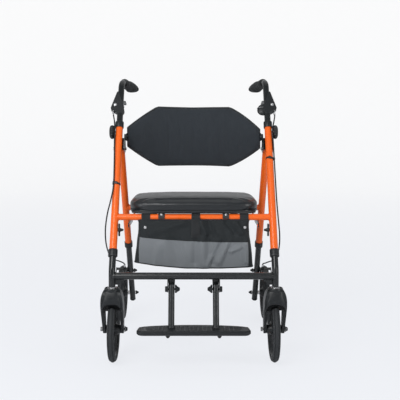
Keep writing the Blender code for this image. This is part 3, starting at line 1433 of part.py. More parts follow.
def build_footrest(body):
    """Two tubes from the hangers to a ribbed footplate."""
    pivot = foot_pivot()
    plate_low = FOOTPLATE_TOP_Z - FOOTPLATE_THICKNESS
    tube_end = Vector((0.0, FOOTPLATE_FRONT_Y + FOOTPLATE_DEPTH * 0.52, plate_low - 0.004))
    for label, side in SIDES:
        start = pivot + Vector((side * FOOT_TUBE_X, 0.0, 0.0))
        end = tube_end + Vector((side * FOOT_TUBE_X, 0.0, 0.0))
        top = start + (start - end).normalized() * 0.0145
        tube_item = add_object("footrest_tube_" + label, shape_of(rod, top, end, FOOT_TUBE_RADIUS, 16), "black_paint", body)
        reach = Vector((0.03, 0.0, 0.0))
        hole = shape_of(rod, start - reach, start + reach, FOOT_PIN_RADIUS + RUNNING_GAP, 10)
        bored(tube_item, "foot_tube_hole_" + label, hole)
    bm = bmesh.new()
    middle = (FOOTPLATE_TOP_Z + plate_low) / 2.0
    prism(bm, footplate_outline(), Matrix.Translation((0, 0, middle)), FOOTPLATE_THICKNESS)
    plate = add_object("footplate", bm, "black_plastic", body)
    soften(plate, 0.004, segments=1, angle=50.0)
    grooves = bmesh.new()
    pitch = (FOOTPLATE_DEPTH - 0.030) / FOOTPLATE_RIBS
    for index in range(FOOTPLATE_RIBS):
        y = FOOTPLATE_FRONT_Y + 0.012 + pitch * index
        reach_x = FOOTPLATE_HALF_WIDTH - 0.030 - 0.010 * abs(index - FOOTPLATE_RIBS / 2.0) / FOOTPLATE_RIBS
        box(grooves, (-reach_x, y, FOOTPLATE_TOP_Z - 0.0016), (reach_x, y + pitch * 0.4, FOOTPLATE_TOP_Z + 0.01))
    combine(plate, add_cutter("footplate_grooves", grooves), "DIFFERENCE")
    bumps = bmesh.new()
    for _, side in SIDES:
        x = side * FOOT_BUMP_X
        y = FOOTPLATE_FRONT_Y + 0.030
        profile = ((0.0, 0.0), (0.004, 0.0), (0.0115, 0.012), (0.0115, 0.020), (0.0, 0.020))
        turned(bumps, profile, (x, y, plate_low - 0.0145), Z_AXIS, segments=10)
    combine(plate, add_cutter("footplate_bumps", bumps), "UNION")
    sockets = bmesh.new()
    for _, side in SIDES:
        start = pivot + Vector((side * FOOT_TUBE_X, 0.0, 0.0))
        end = tube_end + Vector((side * FOOT_TUBE_X, 0.0, 0.0))
        along = (end - start).normalized()
        rod(sockets, start, end + along * 0.03, FOOT_TUBE_RADIUS + SEAT_GAP, segments=16)
    combine(plate, add_cutter("footplate_sockets", sockets), "DIFFERENCE")


FOOT_BUMP_X = 0.0875


def star_outline(points, outer, inner):
    """A star knob's outline."""
    outline = []
    for step in range(points * 5):
        turn = 2.0 * math.pi * step / (points * 5)
        wave = 0.5 + 0.5 * math.cos(points * turn)
        outline.append(((inner + (outer - inner) * wave) * math.cos(turn), (inner + (outer - inner) * wave) * math.sin(turn)))
    return outline


def build_star_knob(label, side, body):
    """A star knob on a screw through the footrest tube and its hanger."""
    pivot = foot_pivot()
    face = FOOT_TUBE_X - FOOT_TUBE_RADIUS - 0.0012
    bm = bmesh.new()
    profile = [(0.0, 0.0), (0.0150, 0.0), (0.0165, 0.003), (0.0100, 0.008), (0.0050, 0.0165), (0.0, 0.0172)]
    turned(bm, profile, (side * face, pivot.y, pivot.z), (-side, 0, 0), segments=20)
    knob = add_object("footrest_knob_" + label, bm, "black_plastic", body)
    cutter = bmesh.new()
    matrix = frame_matrix((side * (face - 0.01), pivot.y, pivot.z), (0, 1, 0), (0, 0, 1))
    prism(cutter, star_outline(STAR_POINTS, 0.0155, 0.0100), matrix, 0.06)
    combine(knob, add_cutter("star_shape_" + label, cutter), "INTERSECT")
    screw = bmesh.new()
    end = side * (FOOT_TUBE_X + FOOT_TUBE_RADIUS + HANGER_THICKNESS + 0.006)
    rod(screw, (side * (face - 0.004), pivot.y, pivot.z), (end, pivot.y, pivot.z), FOOT_PIN_RADIUS, segments=10)
    combine(knob, add_cutter("star_screw_" + label, screw), "UNION")


def build_cables(root):
    """Brake cables on their whole route from the levers to the rear brakes."""
    for label, side in SIDES:
        name = "brake_cable_" + label
        points = [front_point(along, offset, side * x) for x, along, offset in CABLE_ON_LEG[label]]
        points += [(side * x, y, z) for x, y, z in CABLE_IN_AIR[label]]
        stop_top = CABLE_STOP_AT + CABLE_STOP_HEIGHT + 2 * SEAT_GAP
        for above in (0.014, 0.0):
            points.append(brake_point(CABLE_STOP_FORWARD, stop_top + above, side * CABLE_END_X))
        curve = bpy.data.curves.new(name, "CURVE")
        curve.dimensions = "3D"
        curve.bevel_depth = CABLE_RADIUS
        curve.bevel_resolution = 2
        curve.use_fill_caps = True
        path = smooth_path(points, CABLE_RADIUS * 7.0)
        spline = curve.splines.new("POLY")
        spline.points.add(len(path) - 1)
        for target, place in zip(spline.points, path):
            target.co = (*place, 1.0)
        curve.materials.append(finish_material("black_plastic"))
        cable = bpy.data.objects.new(name, curve)
        bpy.context.scene.collection.objects.link(cable)
        carry(cable, root)


def main():
    clear_scene()
    root = joint_empty("front_frame", (0.0, 0.0, 0.0))
    rear = joint_empty("rear_fold_axis", HINGE)
    carry(rear, root)
    front_pin, middle_pin, rear_pin = brace_pins()
    front_brace = joint_empty("front_brace_axis", front_pin)
    carry(front_brace, root)
    rear_brace = joint_empty("rear_brace_axis", rear_pin)
    carry(rear_brace, rear)
    seat = joint_empty("seat_axis", FRONT_BAR)
    carry(seat, root)
    backrest = joint_empty("backrest_axis", front_point(BACKREST_PIVOT_AT, 0.004))
    carry(backrest, root)
    footrest = joint_empty("footrest_axis", foot_pivot())
    carry(footrest, root)

    build_front_frame(root)
    build_lower_frame(root)
    build_post_collars(root)
    build_hinge_brackets(root)
    build_hinge_pins(root)
    build_rear_frame(rear)
    build_rear_lower_legs(rear)
    build_rear_axles(rear)
    build_brake_brackets(rear)
    build_braces(front_brace, rear_brace)
    build_seat(seat)
    build_backrest(backrest)
    build_bag(root)
    build_footrest(footrest)
    build_cables(root)

    for label, side in SIDES:
        handle = joint_empty("handle_slide_" + label, front_point(UPPER_COLLAR_AT, 0.0, side * FRONT_LEG_X))
        carry(handle, root)
        build_handle(label, side, handle)
        lever_pin = front_point(LEVER_PIVOT_AT, LEVER_PIVOT_OFFSET, side * FRONT_LEG_X)
        lever = joint_empty("lever_axis_" + label, lever_pin)
        carry(lever, handle)
        build_lever(label, side, lever)
        knob = joint_empty("height_knob_axis_" + label, front_point(KNOB_AT, 0.0, side * FRONT_LEG_X))
        carry(knob, root)
        build_height_knob(label, side, knob)
        wing = joint_empty("wing_screw_axis_" + label, front_point(WING_AT, 0.0, side * FRONT_LEG_X))
        carry(wing, root)
        build_wing_screw(label, side, wing)
        swivel = joint_empty("caster_axis_" + label, (side * FRONT_LEG_X, STEM_Y, FORK_CROWN_Z))
        carry(swivel, root)
        wheel = joint_empty("front_wheel_axis_" + label, (side * FRONT_LEG_X, FRONT_AXLE_Y, WHEEL_RADIUS))
        carry(wheel, swivel)
        build_caster(label, side, swivel, wheel)
        rear_wheel = joint_empty("rear_wheel_axis_" + label, (side * REAR_WHEEL_X, REAR_AXLE_Y, WHEEL_RADIUS))
        carry(rear_wheel, rear)
        build_wheel(label, (side * REAR_WHEEL_X, REAR_AXLE_Y, WHEEL_RADIUS), rear_wheel, front=False)
        shoe_pin = brake_point(SHOE_PIN_FORWARD, SHOE_PIN_FROM_AXLE, side * REAR_WHEEL_X)
        shoe = joint_empty("brake_shoe_axis_" + label, shoe_pin)
        carry(shoe, rear)
        build_brake_shoe(label, side, shoe)
        star = joint_empty("footrest_knob_axis_" + label, foot_pivot() + Vector((side * FOOT_TUBE_X, 0, 0)))
        carry(star, footrest)
        build_star_knob(label, side, star)


main()
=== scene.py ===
"""Dressed model of a wide folding rollator with a seat, a bag, hand brakes and a swing-up footrest.

Every piece stands in the frame's own coordinates, in metres, with the casters towards -Y.
"""

import logging
from dataclasses import dataclass
from enum import Enum
from math import copysign, cos, exp, hypot, pi, radians, sin, sqrt, tan, tau
from typing import Callable, Iterable, Sequence

import bmesh
import bpy
from mathutils import Matrix, Vector, noise
from mathutils.geometry import convex_hull_2d


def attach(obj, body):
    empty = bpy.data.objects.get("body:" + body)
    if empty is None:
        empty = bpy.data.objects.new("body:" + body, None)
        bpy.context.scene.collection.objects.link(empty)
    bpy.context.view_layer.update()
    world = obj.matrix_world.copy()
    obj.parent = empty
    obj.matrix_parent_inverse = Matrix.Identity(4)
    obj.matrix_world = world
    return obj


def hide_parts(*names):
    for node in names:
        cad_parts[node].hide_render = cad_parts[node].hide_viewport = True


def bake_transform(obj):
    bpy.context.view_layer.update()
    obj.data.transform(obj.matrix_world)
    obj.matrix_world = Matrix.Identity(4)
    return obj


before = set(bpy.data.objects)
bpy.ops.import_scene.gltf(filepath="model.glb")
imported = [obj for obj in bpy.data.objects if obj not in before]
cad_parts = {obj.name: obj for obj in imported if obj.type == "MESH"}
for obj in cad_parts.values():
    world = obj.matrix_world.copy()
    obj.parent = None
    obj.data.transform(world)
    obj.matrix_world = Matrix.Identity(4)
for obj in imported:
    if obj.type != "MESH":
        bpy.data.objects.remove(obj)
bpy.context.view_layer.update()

LOG = logging.getLogger("rollator")
Point = Sequence[float]
Outline = Sequence[tuple[float, float]]
Level = Callable[[float], float]
Colour = tuple[float, float, float]
Socket = bpy.types.NodeSocket
SIDES = (("left", -1.0), ("right", 1.0))
X_AXIS = Vector((1.0, 0.0, 0.0))
Z_AXIS = Vector((0.0, 0.0, 1.0))


class Grain(Enum):
    """The surface textures that the finishes choose from."""

    POWDER = "powder"
    MOULDED = "moulded"
    RUBBER = "rubber"
    BRUSHED = "brushed"
    VINYL = "vinyl"
    WEAVE = "weave"
    WEBBING = "webbing"


class Wiring:
    """The nodes of a new material."""

    def __init__(self, name: str) -> None:
        """Makes the material, with its shader.

        Args:
            name: The material's name.
        """
        self.material = bpy.data.materials.new(name)
        self.material.use_nodes = True
        self.tree = self.material.node_tree
        self.shader = self.tree.nodes["Principled BSDF"]

    def put(self, node: bpy.types.Node, inputs: dict) -> None:
        """Joins sockets to the inputs of a node, or sets their values.

        Args:
            node: The node that takes them.
            inputs: A socket or a value for each input, by its name or index.
        """
        for key, value in inputs.items():
            if isinstance(value, Socket):
                self.tree.links.new(value, node.inputs[key])
            else:
                node.inputs[key].default_value = value

    def add(self, kind: str, inputs: dict | None = None) -> bpy.types.Node:
        """Adds a node and gives it its inputs.

        Args:
            kind: The node's type.
            inputs: What put gives to its inputs.

        Returns:
            The node.
        """
        node = self.tree.nodes.new(kind)
        self.put(node, inputs or {})
        return node

    def noise(self, place: Socket, scale: float, detail: float) -> Socket:
        """A noise pattern's value socket at a scale per metre."""
        pattern = self.add("ShaderNodeTexNoise", {"Vector": place, "Scale": scale, "Detail": detail, "Roughness": 0.6})
        return pattern.outputs["Fac"]

    def combine(self, operation: str, *values: Socket | float) -> Socket:
        """The result of an operation on sockets or numbers.

        Args:
            operation: The operation's name.
            values: The sockets or numbers, in order.

        Returns:
            The result's socket.
        """
        node = self.add("ShaderNodeMath")
        node.operation = operation
        self.put(node, dict(enumerate(values)))
        return node.outputs["Value"]

    def mixed(self, factor: Socket, first: Socket | Point, second: Socket | Point) -> Socket:
        """The mix of two colours, given as sockets or as values.

        Args:
            factor: The share of the second colour.
            first: The first colour.
            second: The second colour.

        Returns:
            The mixed colour's socket.
        """
        node = self.add("ShaderNodeMix")
        node.data_type = "RGBA"
        self.put(node, {0: factor, 6: first, 7: second})
        return node.outputs[2]


@dataclass(frozen=True)
class Finish:
    """One finish of the object, made as a node material on Object coordinates."""

    name: str
    slot: str
    colour: Colour
    grain: Grain
    scale: float
    relief: float
    roughness: float
    metallic: float = 0.0
    coat: float = 0.0
    sheen: float = 0.0
    specular: float = 0.5
    cloud: float = 7.0
    spread: float = 0.16
    rubbed_edge_and_highlight_colour: Colour | None = None

    def material(self) -> bpy.types.Material:
        """Makes the material once, and returns it.

        Returns:
            The node material with the finish's name.
        """
        made = bpy.data.materials.get(self.name)
        if made is not None:
            return made
        wiring = Wiring(self.name)
        wiring.material.diffuse_color = (*self.colour, 1.0)
        place = wiring.add("ShaderNodeTexCoord").outputs["Object"]
        tone = self.blend(wiring, wiring.noise(place, self.cloud, 4.0))
        # Convex edges get a lighter colour: partly rubbed wear, partly a painted edge highlight.
        if self.rubbed_edge_and_highlight_colour is not None:
            tone = self.paint_rubbed_edges_and_highlights(wiring, tone, place)
        patch = wiring.noise(place, self.cloud * 5.0, 3.0)
        span = wiring.add("ShaderNodeMapRange", {"Value": patch, "To Min": max(0.05, self.roughness - 0.07),
                                                 "To Max": min(1.0, self.roughness + 0.09)})
        bump = wiring.add("ShaderNodeBump", {"Distance": self.relief, "Strength": 1.0,
                                             "Height": self.height(wiring, place)})
        wiring.put(wiring.shader, {
            "Base Color": tone, "Roughness": span.outputs["Result"], "Normal": bump.outputs["Normal"],
            "Metallic": self.metallic, "Coat Weight": self.coat, "Coat Roughness": 0.12,
            "Specular IOR Level": self.specular, "Sheen Weight": self.sheen, "Sheen Roughness": 0.45})
        return wiring.material

    def blend(self, wiring: Wiring, factor: Socket) -> Socket:
        """The colour from a darker to a lighter tone of the finish.

        Args:
            wiring: The material's nodes.
            factor: The share of the lighter tone.

        Returns:
            The colour's socket.
        """
        dark, light = ((*(min(1.0, part * gain) for part in self.colour), 1.0)
                       for gain in (1.0 - self.spread, 1.0 + self.spread))
        return wiring.mixed(factor, dark, light)

    def paint_rubbed_edges_and_highlights(self, wiring: Wiring, tone: Socket, place: Socket) -> Socket:
        """The tone with lighter convex edges, broken up by a noise: partly rubbed wear, partly a painted edge
        highlight.

        Args:
            wiring: The material's nodes.
            tone: The colour without wear.
            place: The coordinate socket.

        Returns:
            The colour's socket.
        """
        edge = wiring.add("ShaderNodeNewGeometry").outputs["Pointiness"]
        ramp = wiring.add("ShaderNodeMapRange", {"Value": edge, "From Min": 0.53, "From Max": 0.6, "To Max": 0.75})
        broken = wiring.combine("MULTIPLY", ramp.outputs["Result"], wiring.noise(place, 160.0, 2.0))
        return wiring.mixed(broken, tone, (*self.rubbed_edge_and_highlight_colour, 1.0))

    def height(self, wiring: Wiring, place: Socket) -> Socket:
        """The socket that carries the relief of the finish's grain.

        Args:
            wiring: The material's nodes.
            place: The coordinate socket.

        Returns:
            The height socket for the bump.
        """
        if self.grain in (Grain.POWDER, Grain.MOULDED, Grain.RUBBER):
            return wiring.noise(place, self.scale, 2.0)
        if self.grain is Grain.BRUSHED:
            mapping = wiring.add("ShaderNodeMapping", {"Vector": place, "Scale": (1.0, 1.0, 0.06)})
            return wiring.noise(mapping.outputs["Vector"], self.scale, 2.0)
        if self.grain is Grain.VINYL:
            cells = wiring.add("ShaderNodeTexVoronoi")
            cells.feature = "SMOOTH_F1"
            wiring.put(cells, {"Vector": place, "Scale": self.scale})
            return cells.outputs["Distance"]
        total = None
        for axis in ("X", "Y", "Z") if self.grain is Grain.WEAVE else ("X", "Z"):
            wave = wiring.add("ShaderNodeTexWave", {"Vector": place, "Scale": self.scale, "Distortion": 0.4})
            wave.wave_type = "BANDS"
            wave.bands_direction = axis
            bands = wave.outputs["Fac"]
            total = bands if total is None else wiring.combine("ADD", total, bands)
        return total


# A finish's last colour is painted on its convex edges: partly rubbed wear, partly a painted edge highlight.
ORANGE = Finish("orange_powder_coat", "orange", (0.92, 0.122, 0.004), Grain.POWDER, 900.0, 0.00005, 0.27,
                coat=0.25, specular=0.25, spread=0.05, rubbed_edge_and_highlight_colour=(0.88, 0.19, 0.04))
BLACK_PAINT = Finish("black_powder_coat", "black_paint", (0.007, 0.009, 0.01), Grain.POWDER, 1100.0, 0.00006, 0.24,
                     coat=0.34, specular=0.24, rubbed_edge_and_highlight_colour=(0.045, 0.048, 0.05))
PLASTIC = Finish("black_moulded_plastic", "black_plastic", (0.0085, 0.0105, 0.012), Grain.MOULDED, 1500.0, 0.0001,
                 0.38, specular=0.38, rubbed_edge_and_highlight_colour=(0.05, 0.052, 0.055))
GRIP = Finish("soft_grip_rubber", "black_plastic", (0.014, 0.016, 0.0175), Grain.RUBBER, 800.0, 0.00018, 0.62,
              rubbed_edge_and_highlight_colour=(0.06, 0.06, 0.062))
TYRE = Finish("tyre_rubber", "tyre", (0.019, 0.0215, 0.024), Grain.RUBBER, 700.0, 0.00022, 0.72,
              spread=0.25, rubbed_edge_and_highlight_colour=(0.1, 0.1, 0.1))
DARK_STEEL = Finish("phosphated_steel", "steel", (0.24, 0.245, 0.25), Grain.BRUSHED, 1400.0, 0.00005, 0.42,
                    metallic=1.0, spread=0.1, rubbed_edge_and_highlight_colour=(0.42, 0.42, 0.42))
STEEL = Finish("zinc_plated_steel", "steel", (0.66, 0.66, 0.67), Grain.BRUSHED, 1600.0, 0.00004, 0.26,
               metallic=1.0, spread=0.08, rubbed_edge_and_highlight_colour=(0.8, 0.8, 0.8))
VINYL = Finish("satin_vinyl", "vinyl", (0.01, 0.0125, 0.015), Grain.VINYL, 520.0, 0.0001, 0.36,
               coat=0.14, specular=0.4, spread=0.12)
PAD_CLOTH = Finish("charcoal_pad_cloth", "pad_cloth", (0.0195, 0.0255, 0.0325), Grain.WEAVE, 210.0, 0.00022, 0.86,
                   sheen=0.18, spread=0.12)
PAD_BINDING = Finish("pad_edge_binding", "pad_cloth", (0.013, 0.016, 0.019), Grain.WEAVE, 260.0, 0.00022, 0.7,
                     sheen=0.12)
BAG_GREY = Finish("grey_bag_cloth", "bag_cloth", (0.172, 0.187, 0.2), Grain.WEAVE, 190.0, 0.00024, 0.46,
                  sheen=0.15, spread=0.1)
BAG_BLACK = Finish("black_bag_cloth", "bag_cloth", (0.0105, 0.014, 0.016), Grain.WEAVE, 190.0, 0.00024, 0.55,
                   specular=0.3, sheen=0.04, spread=0.14)
WEBBING = Finish("black_webbing", "bag_cloth", (0.014, 0.016, 0.018), Grain.WEBBING, 240.0, 0.00035, 0.8,
                 sheen=0.1)
BOARD = Finish("painted_board", "board", (0.018, 0.018, 0.019), Grain.MOULDED, 600.0, 0.00015, 0.6)


@dataclass(frozen=True)
class Layout:
    """The lines of the frame that the pieces stand on."""

    stem_y: float = -0.312
    bend_z: float = 0.33
    lean: float = radians(28.4)
    leg_x: float = 0.283
    leg_radius: float = 0.0135
    inner_radius: float = 0.0118
    bar_radius: float = 0.0115
    bar_z: float = 0.505
    hinge_at: float = 0.489
    hinge_offset: float = 0.034
    axle_y: float = 0.293
    wheel_radius: float = 0.114
    rear_top_x: float = 0.276
    rear_foot_x: float = 0.264
    rear_wheel_x: float = 0.3055

    @property
    def up(self) -> Vector:
        """The direction up a front leg."""
        return Vector((0.0, sin(self.lean), cos(self.lean)))

    @property
    def back(self) -> Vector:
        """The direction square to a front leg, towards the rear."""
        return Vector((0.0, cos(self.lean), -sin(self.lean)))

    def front(self, along: float, offset: float = 0.0, x: float = 0.0) -> Vector:
        """A point on a front leg's line, by its distance up from the bend and its offset to the rear."""
        return Vector((x, self.stem_y, self.bend_z)) + self.up * along + self.back * offset

    @property
    def hinge(self) -> Vector:
        """The fold line of the frame."""
        return self.front(self.hinge_at, self.hinge_offset)

    @property
    def rear_length(self) -> float:
        """The distance from the fold line to the rear axle."""
        return (Vector((0.0, self.axle_y, self.wheel_radius)) - self.hinge).length

    @property
    def down(self) -> Vector:
        """The direction down a rear leg."""
        return (Vector((0.0, self.axle_y, self.wheel_radius)) - self.hinge).normalized()

    @property
    def forward(self) -> Vector:
        """The direction square to a rear leg, towards the front."""
        return Vector((0.0, self.down.z, -self.down.y))

    def rear(self, along: float, side: float) -> Vector:
        """A point on a rear leg's line, by its distance from the fold line.

        Args:
            along: The distance.
            side: -1 for the left, 1 for the right.

        Returns:
            The point.
        """
        place = self.hinge + self.down * along
        place.x = side * (self.rear_top_x + (self.rear_foot_x - self.rear_top_x) * along / self.rear_length)
        return place

    @property
    def front_bar(self) -> Vector:
        """The middle of the front seat bar."""
        return self.front((self.bar_z - self.bend_z) / self.up.z)

    @property
    def rear_bar(self) -> Vector:
        """The middle of the rear seat bar."""
        return self.hinge + self.down * ((self.bar_z - self.hinge.z) / self.down.z)


PLAN = Layout()


def placed(place: Point, u_axis: Point, v_axis: Point) -> Matrix:
    """The matrix that takes (u, v, w) to a place with the given first two axes.

    Args:
        place: Where (0, 0, 0) goes.
        u_axis: The first axis.
        v_axis: The second axis, square to it.

    Returns:
        The matrix.
    """
    u_axis = Vector(u_axis).normalized()
    v_axis = Vector(v_axis).normalized()
    matrix = Matrix((u_axis, v_axis, u_axis.cross(v_axis))).transposed().to_4x4()
    matrix.translation = Vector(place)
    return matrix


def pointed(place: Point, axis: Point) -> Matrix:
    """The matrix that puts the z axis along a direction at a place."""
    return Matrix.Translation(Vector(place)) @ Vector(axis).normalized().to_track_quat("Z", "Y").to_matrix().to_4x4()


def side_view(x: float) -> Matrix:
    """Places an outline drawn in (y, z) at a distance x."""
    return placed((x, 0.0, 0.0), (0, 1, 0), (0, 0, 1))


def rounded(corners: Sequence[Point], radius: float, steps: int = 10) -> list[Vector]:
    """A polyline whose inner corners are arcs.

    Args:
        corners: The corner points.
        radius: The bend radius.
        steps: The points in each arc.

    Returns:
        The points of the line.
    """
    path = [Vector(corners[0])]
    for before, corner, after in zip(corners, corners[1:], corners[2:]):
        corner = Vector(corner)
        back = (Vector(before) - corner).normalized()
        ahead = (Vector(after) - corner).normalized()
        half = back.angle(ahead) / 2.0
        centre = corner + (back + ahead).normalized() * (radius / sin(half))
        start = (corner + back * (radius / tan(half)) - centre).normalized()
        end = (corner + ahead * (radius / tan(half)) - centre).normalized()
        path += [centre + start.slerp(end, step / steps) * radius for step in range(steps + 1)]
    path.append(Vector(corners[-1]))
    return path


def curved(points: Sequence[Point], spacing: float) -> list[Vector]:
    """Even points along a smooth curve through the given ones.

    Args:
        points: The points that the curve passes through.
        spacing: The distance between the points returned.

    Returns:
        The points of the curve.
    """
    points = [Vector(point) for point in points]
    padded = [points[0] * 2 - points[1], *points, points[-1] * 2 - points[-2]]
    fine = []
    for before, start, end, after in zip(padded, padded[1:], padded[2:], padded[3:]):
        for step in range(16):
            t = step / 16
            fine.append(0.5 * (2 * start + (end - before) * t + (2 * before - 5 * start + 4 * end - after) * t ** 2
                               + (3 * start - 3 * end + after - before) * t ** 3))
    fine.append(points[-1])
    lengths = [(b - a).length for a, b in zip(fine, fine[1:])]
    count = max(2, round(sum(lengths) / spacing))
    step = sum(lengths) / count
    even = [fine[0]]
    walked = 0.0
    for a, b, length in zip(fine, fine[1:], lengths):
        while len(even) < count and walked + length >= step * len(even):
            even.append(a.lerp(b, (step * len(even) - walked) / length))
        walked += length
    even.append(fine[-1])
    return even


def circle(centre: Point, u_axis: Point, v_axis: Point, radius: float, steps: int) -> list[Vector]:
    """Points round a circle in the plane of two axes."""
    turns = (tau * step / steps for step in range(steps))
    return [Vector(centre) + (Vector(u_axis) * cos(t) + Vector(v_axis) * sin(t)) * radius for t in turns]


def polar(turn: float, radius: float, height: float) -> Vector:
    """The point at an angle round the z axis, a distance from it and a height."""
    return Vector((radius * cos(turn), radius * sin(turn), height))


def eased(value: float, power: float) -> float:
    """A power of a value's size, with the value's sign."""
    return copysign(abs(value) ** power, value)


class Shape:
    """A mesh in the making. Each method adds one form to it and returns the shape."""

    def __init__(self) -> None:
        """Starts with nothing."""
        self.mesh = bmesh.new()

    def finished(self, name: str) -> bpy.types.Mesh:
        """The shape as a mesh of that name. The shape is used up.

        Args:
            name: The mesh's name.

        Returns:
            The mesh.
        """
        mesh = bpy.data.meshes.new(name)
        self.mesh.to_mesh(mesh)
        self.mesh.free()
        return mesh

    def join(self, part: bmesh.types.BMesh, matrix: Matrix | None = None) -> "Shape":
        """Cleans a part, places it and adds it.

        Args:
            part: The part, which is used up.
            matrix: Its place, if it isn't there already.

        Returns:
            The shape.
        """
        bmesh.ops.remove_doubles(part, verts=part.verts[:], dist=1e-6)
        bmesh.ops.recalc_face_normals(part, faces=part.faces[:])
        if matrix is not None:
            bmesh.ops.transform(part, matrix=matrix, verts=part.verts[:])
        carrier = bpy.data.meshes.new("part")
        part.to_mesh(carrier)
        part.free()
        self.mesh.from_mesh(carrier)
        bpy.data.meshes.remove(carrier)
        return self

    def turned(self, profile: Outline, matrix: Matrix, steps: int = 48) -> "Shape":
        """A turned form: (radius, height) pairs spun about the matrix's z axis.

        Args:
            profile: The pairs.
            matrix: The form's place.
            steps: The sides of the form.

        Returns:
            The shape.
        """
        part = bmesh.new()
        verts = [part.verts.new((radius, 0.0, height)) for radius, height in profile]
        edges = [part.edges.new(pair) for pair in zip(verts, verts[1:])]
        bmesh.ops.spin(part, geom=verts + edges, cent=(0, 0, 0), axis=(0, 0, 1), angle=tau, steps=steps,
                       use_merge=True, use_duplicate=False)
        return self.join(part, matrix)

    def sweep(self, path: Iterable[Point], radius: float | Sequence[float], segments: int = 32, flat: float = 1.0,
              closed: bool = False) -> "Shape":
        """A round or flattened bar along a path.

        Args:
            path: The centre line.
            radius: One radius, or one for each point.
            segments: The sides of the bar.
            flat: The share of its width that its height has.
            closed: Whether the bar runs on from its end to its start.

        Returns:
            The shape.
        """
        points = [Vector(point) for point in path]
        radii = [radius] * len(points) if isinstance(radius, float) else list(radius)
        count = len(points)
        across = None
        places = []
        for index, point in enumerate(points):
            after = points[(index + 1) % count] if closed else points[min(index + 1, count - 1)]
            before = points[index - 1] if closed else points[max(index - 1, 0)]
            along = (after - before).normalized()
            if across is None:
                across = X_AXIS if abs(along.x) < 0.8 else Z_AXIS
            across = (across - along * across.dot(along)).normalized()
            turn = Matrix((across, along.cross(across), along)).transposed().to_4x4()
            size = Matrix.Diagonal((radii[index], radii[index] * flat, radii[index], 1.0))
            places.append(Matrix.Translation(point) @ turn @ size)
        part = bmesh.new()
        bmesh.ops.create_circle(part, radius=1.0, segments=segments, matrix=places[0])
        edges = part.edges[:]
        first = edges
        for before, after in zip(places, places[1:]):
            grown = bmesh.ops.extrude_edge_only(part, edges=edges)["geom"]
            verts = [item for item in grown if isinstance(item, bmesh.types.BMVert)]
            bmesh.ops.transform(part, matrix=after @ before.inverted(), verts=verts)
            fresh = set(verts)
            edges = [item for item in grown if isinstance(item, bmesh.types.BMEdge) and fresh.issuperset(item.verts)]
        if closed:
            bmesh.ops.bridge_loops(part, edges=first + edges)
        else:
            bmesh.ops.holes_fill(part, edges=part.edges[:], sides=0)
        return self.join(part)

    def prism(self, outline: Outline, matrix: Matrix, depth: float, bevel: float = 0.0) -> "Shape":
        """An outline of (u, v) points with a depth, its rims rounded by bevel.

        Args:
            outline: The points.
            matrix: The form's place.
            depth: The whole depth, half of it on each side.
            bevel: The width of the rounding.

        Returns:
            The shape.
        """
        part = bmesh.new()
        face = part.faces.new([part.verts.new((u, v, -depth / 2.0)) for u, v in outline])
        grown = bmesh.ops.extrude_face_region(part, geom=[face], use_keep_orig=True)["geom"]
        bmesh.ops.translate(part, vec=(0.0, 0.0, depth),
                            verts=[item for item in grown if isinstance(item, bmesh.types.BMVert)])
        if bevel:
            rims = [edge for edge in part.edges if len({round(vert.co.z, 6) for vert in edge.verts}) == 1]
            bmesh.ops.bevel(part, geom=rims, offset=bevel, offset_type="OFFSET", affect="EDGES", segments=3,
                            profile=0.5, material=-1, clamp_overlap=True)
        return self.join(part, matrix)

    def formed(self, columns: int, rows: int, place: Callable[[float, float], Vector], fill: bool = True) -> "Shape":
        """A grid moved to place(u, v), where u and v run from 0 to 1, its open rims filled if fill is set.

        Args:
            columns: The cells along u.
            rows: The cells along v.
            place: Gives each point its place.
            fill: Whether open rims are closed.

        Returns:
            The shape.
        """
        part = bmesh.new()
        bmesh.ops.create_grid(part, x_segments=columns, y_segments=rows, size=0.5)
        for vert in part.verts:
            vert.co = place(vert.co.x + 0.5, vert.co.y + 0.5)
        bmesh.ops.remove_doubles(part, verts=part.verts[:], dist=1e-6)
        if fill:
            bmesh.ops.holes_fill(part, edges=part.edges[:], sides=0)
        return self.join(part)

    def bolt(self, place: Point, axis: Point, radius: float, height: float) -> "Shape":
        """A domed head with a washer under it and a socket in it, standing along axis.

        Args:
            place: The middle of its foot.
            axis: The way that it points.
            radius: The head's radius.
            height: The head's height.

        Returns:
            The shape.
        """
        r = radius
        profile = ((0.0, 0.0), (r * 1.35, 0.0), (r * 1.35, height * 0.22), (r, height * 0.24), (r, height * 0.55),
                   (r * 0.86, height * 0.86), (r * 0.55, height), (r * 0.42, height), (r * 0.4, height * 0.6),
                   (0.0, height * 0.55))
        return self.turned(profile, pointed(place, axis), 28)

    def nut(self, place: Point, axis: Point, radius: float, height: float) -> "Shape":
        """A six-sided nut with a domed end, standing along axis.

        Args:
            place: The middle of its foot.
            axis: The way that it points.
            radius: The radius over its corners.
            height: Its height.

        Returns:
            The shape.
        """
        outline = [(radius * cos(pi * k / 3), radius * sin(pi * k / 3)) for k in range(6)]
        matrix = pointed(place, axis)
        self.prism(outline, matrix @ Matrix.Translation((0, 0, height * 0.3)), height * 0.6, height * 0.1)
        dome = ((radius * 0.72, 0.0), (radius * 0.7, height * 0.72), (radius * 0.45, height * 0.95), (0.0, height))
        return self.turned(dome, matrix, 24)


def shown(name: str, data: bpy.types.ID) -> bpy.types.Object:
    """Makes an object of some data and puts it in the scene.

    Args:
        name: The object's name.
        data: Its mesh, lamp or camera.

    Returns:
        The object.
    """
    item = bpy.data.objects.new(name, data)
    bpy.context.scene.collection.objects.link(item)
    return item


def add_piece(name: str, shape: Shape, finish: Finish, body: str | None, smooth: float = 38.0, solid: float = 0.0,
              stands_for: Sequence[str] = ()) -> bpy.types.Object:
    """Makes a shape an object of the scene.

    Args:
        name: The piece's name.
        shape: The shape, which is used up.
        finish: Its finish.
        body: The body that it rides on, or None.
        smooth: The angle, in degrees, above which an edge stays sharp.
        solid: The thickness of a wall given to an open sheet.
        stands_for: The frame nodes that it replaces.

    Returns:
        The object.
    """
    return finish_piece(name, shape.finished(name), finish, body, smooth, solid=solid, stands_for=stands_for)


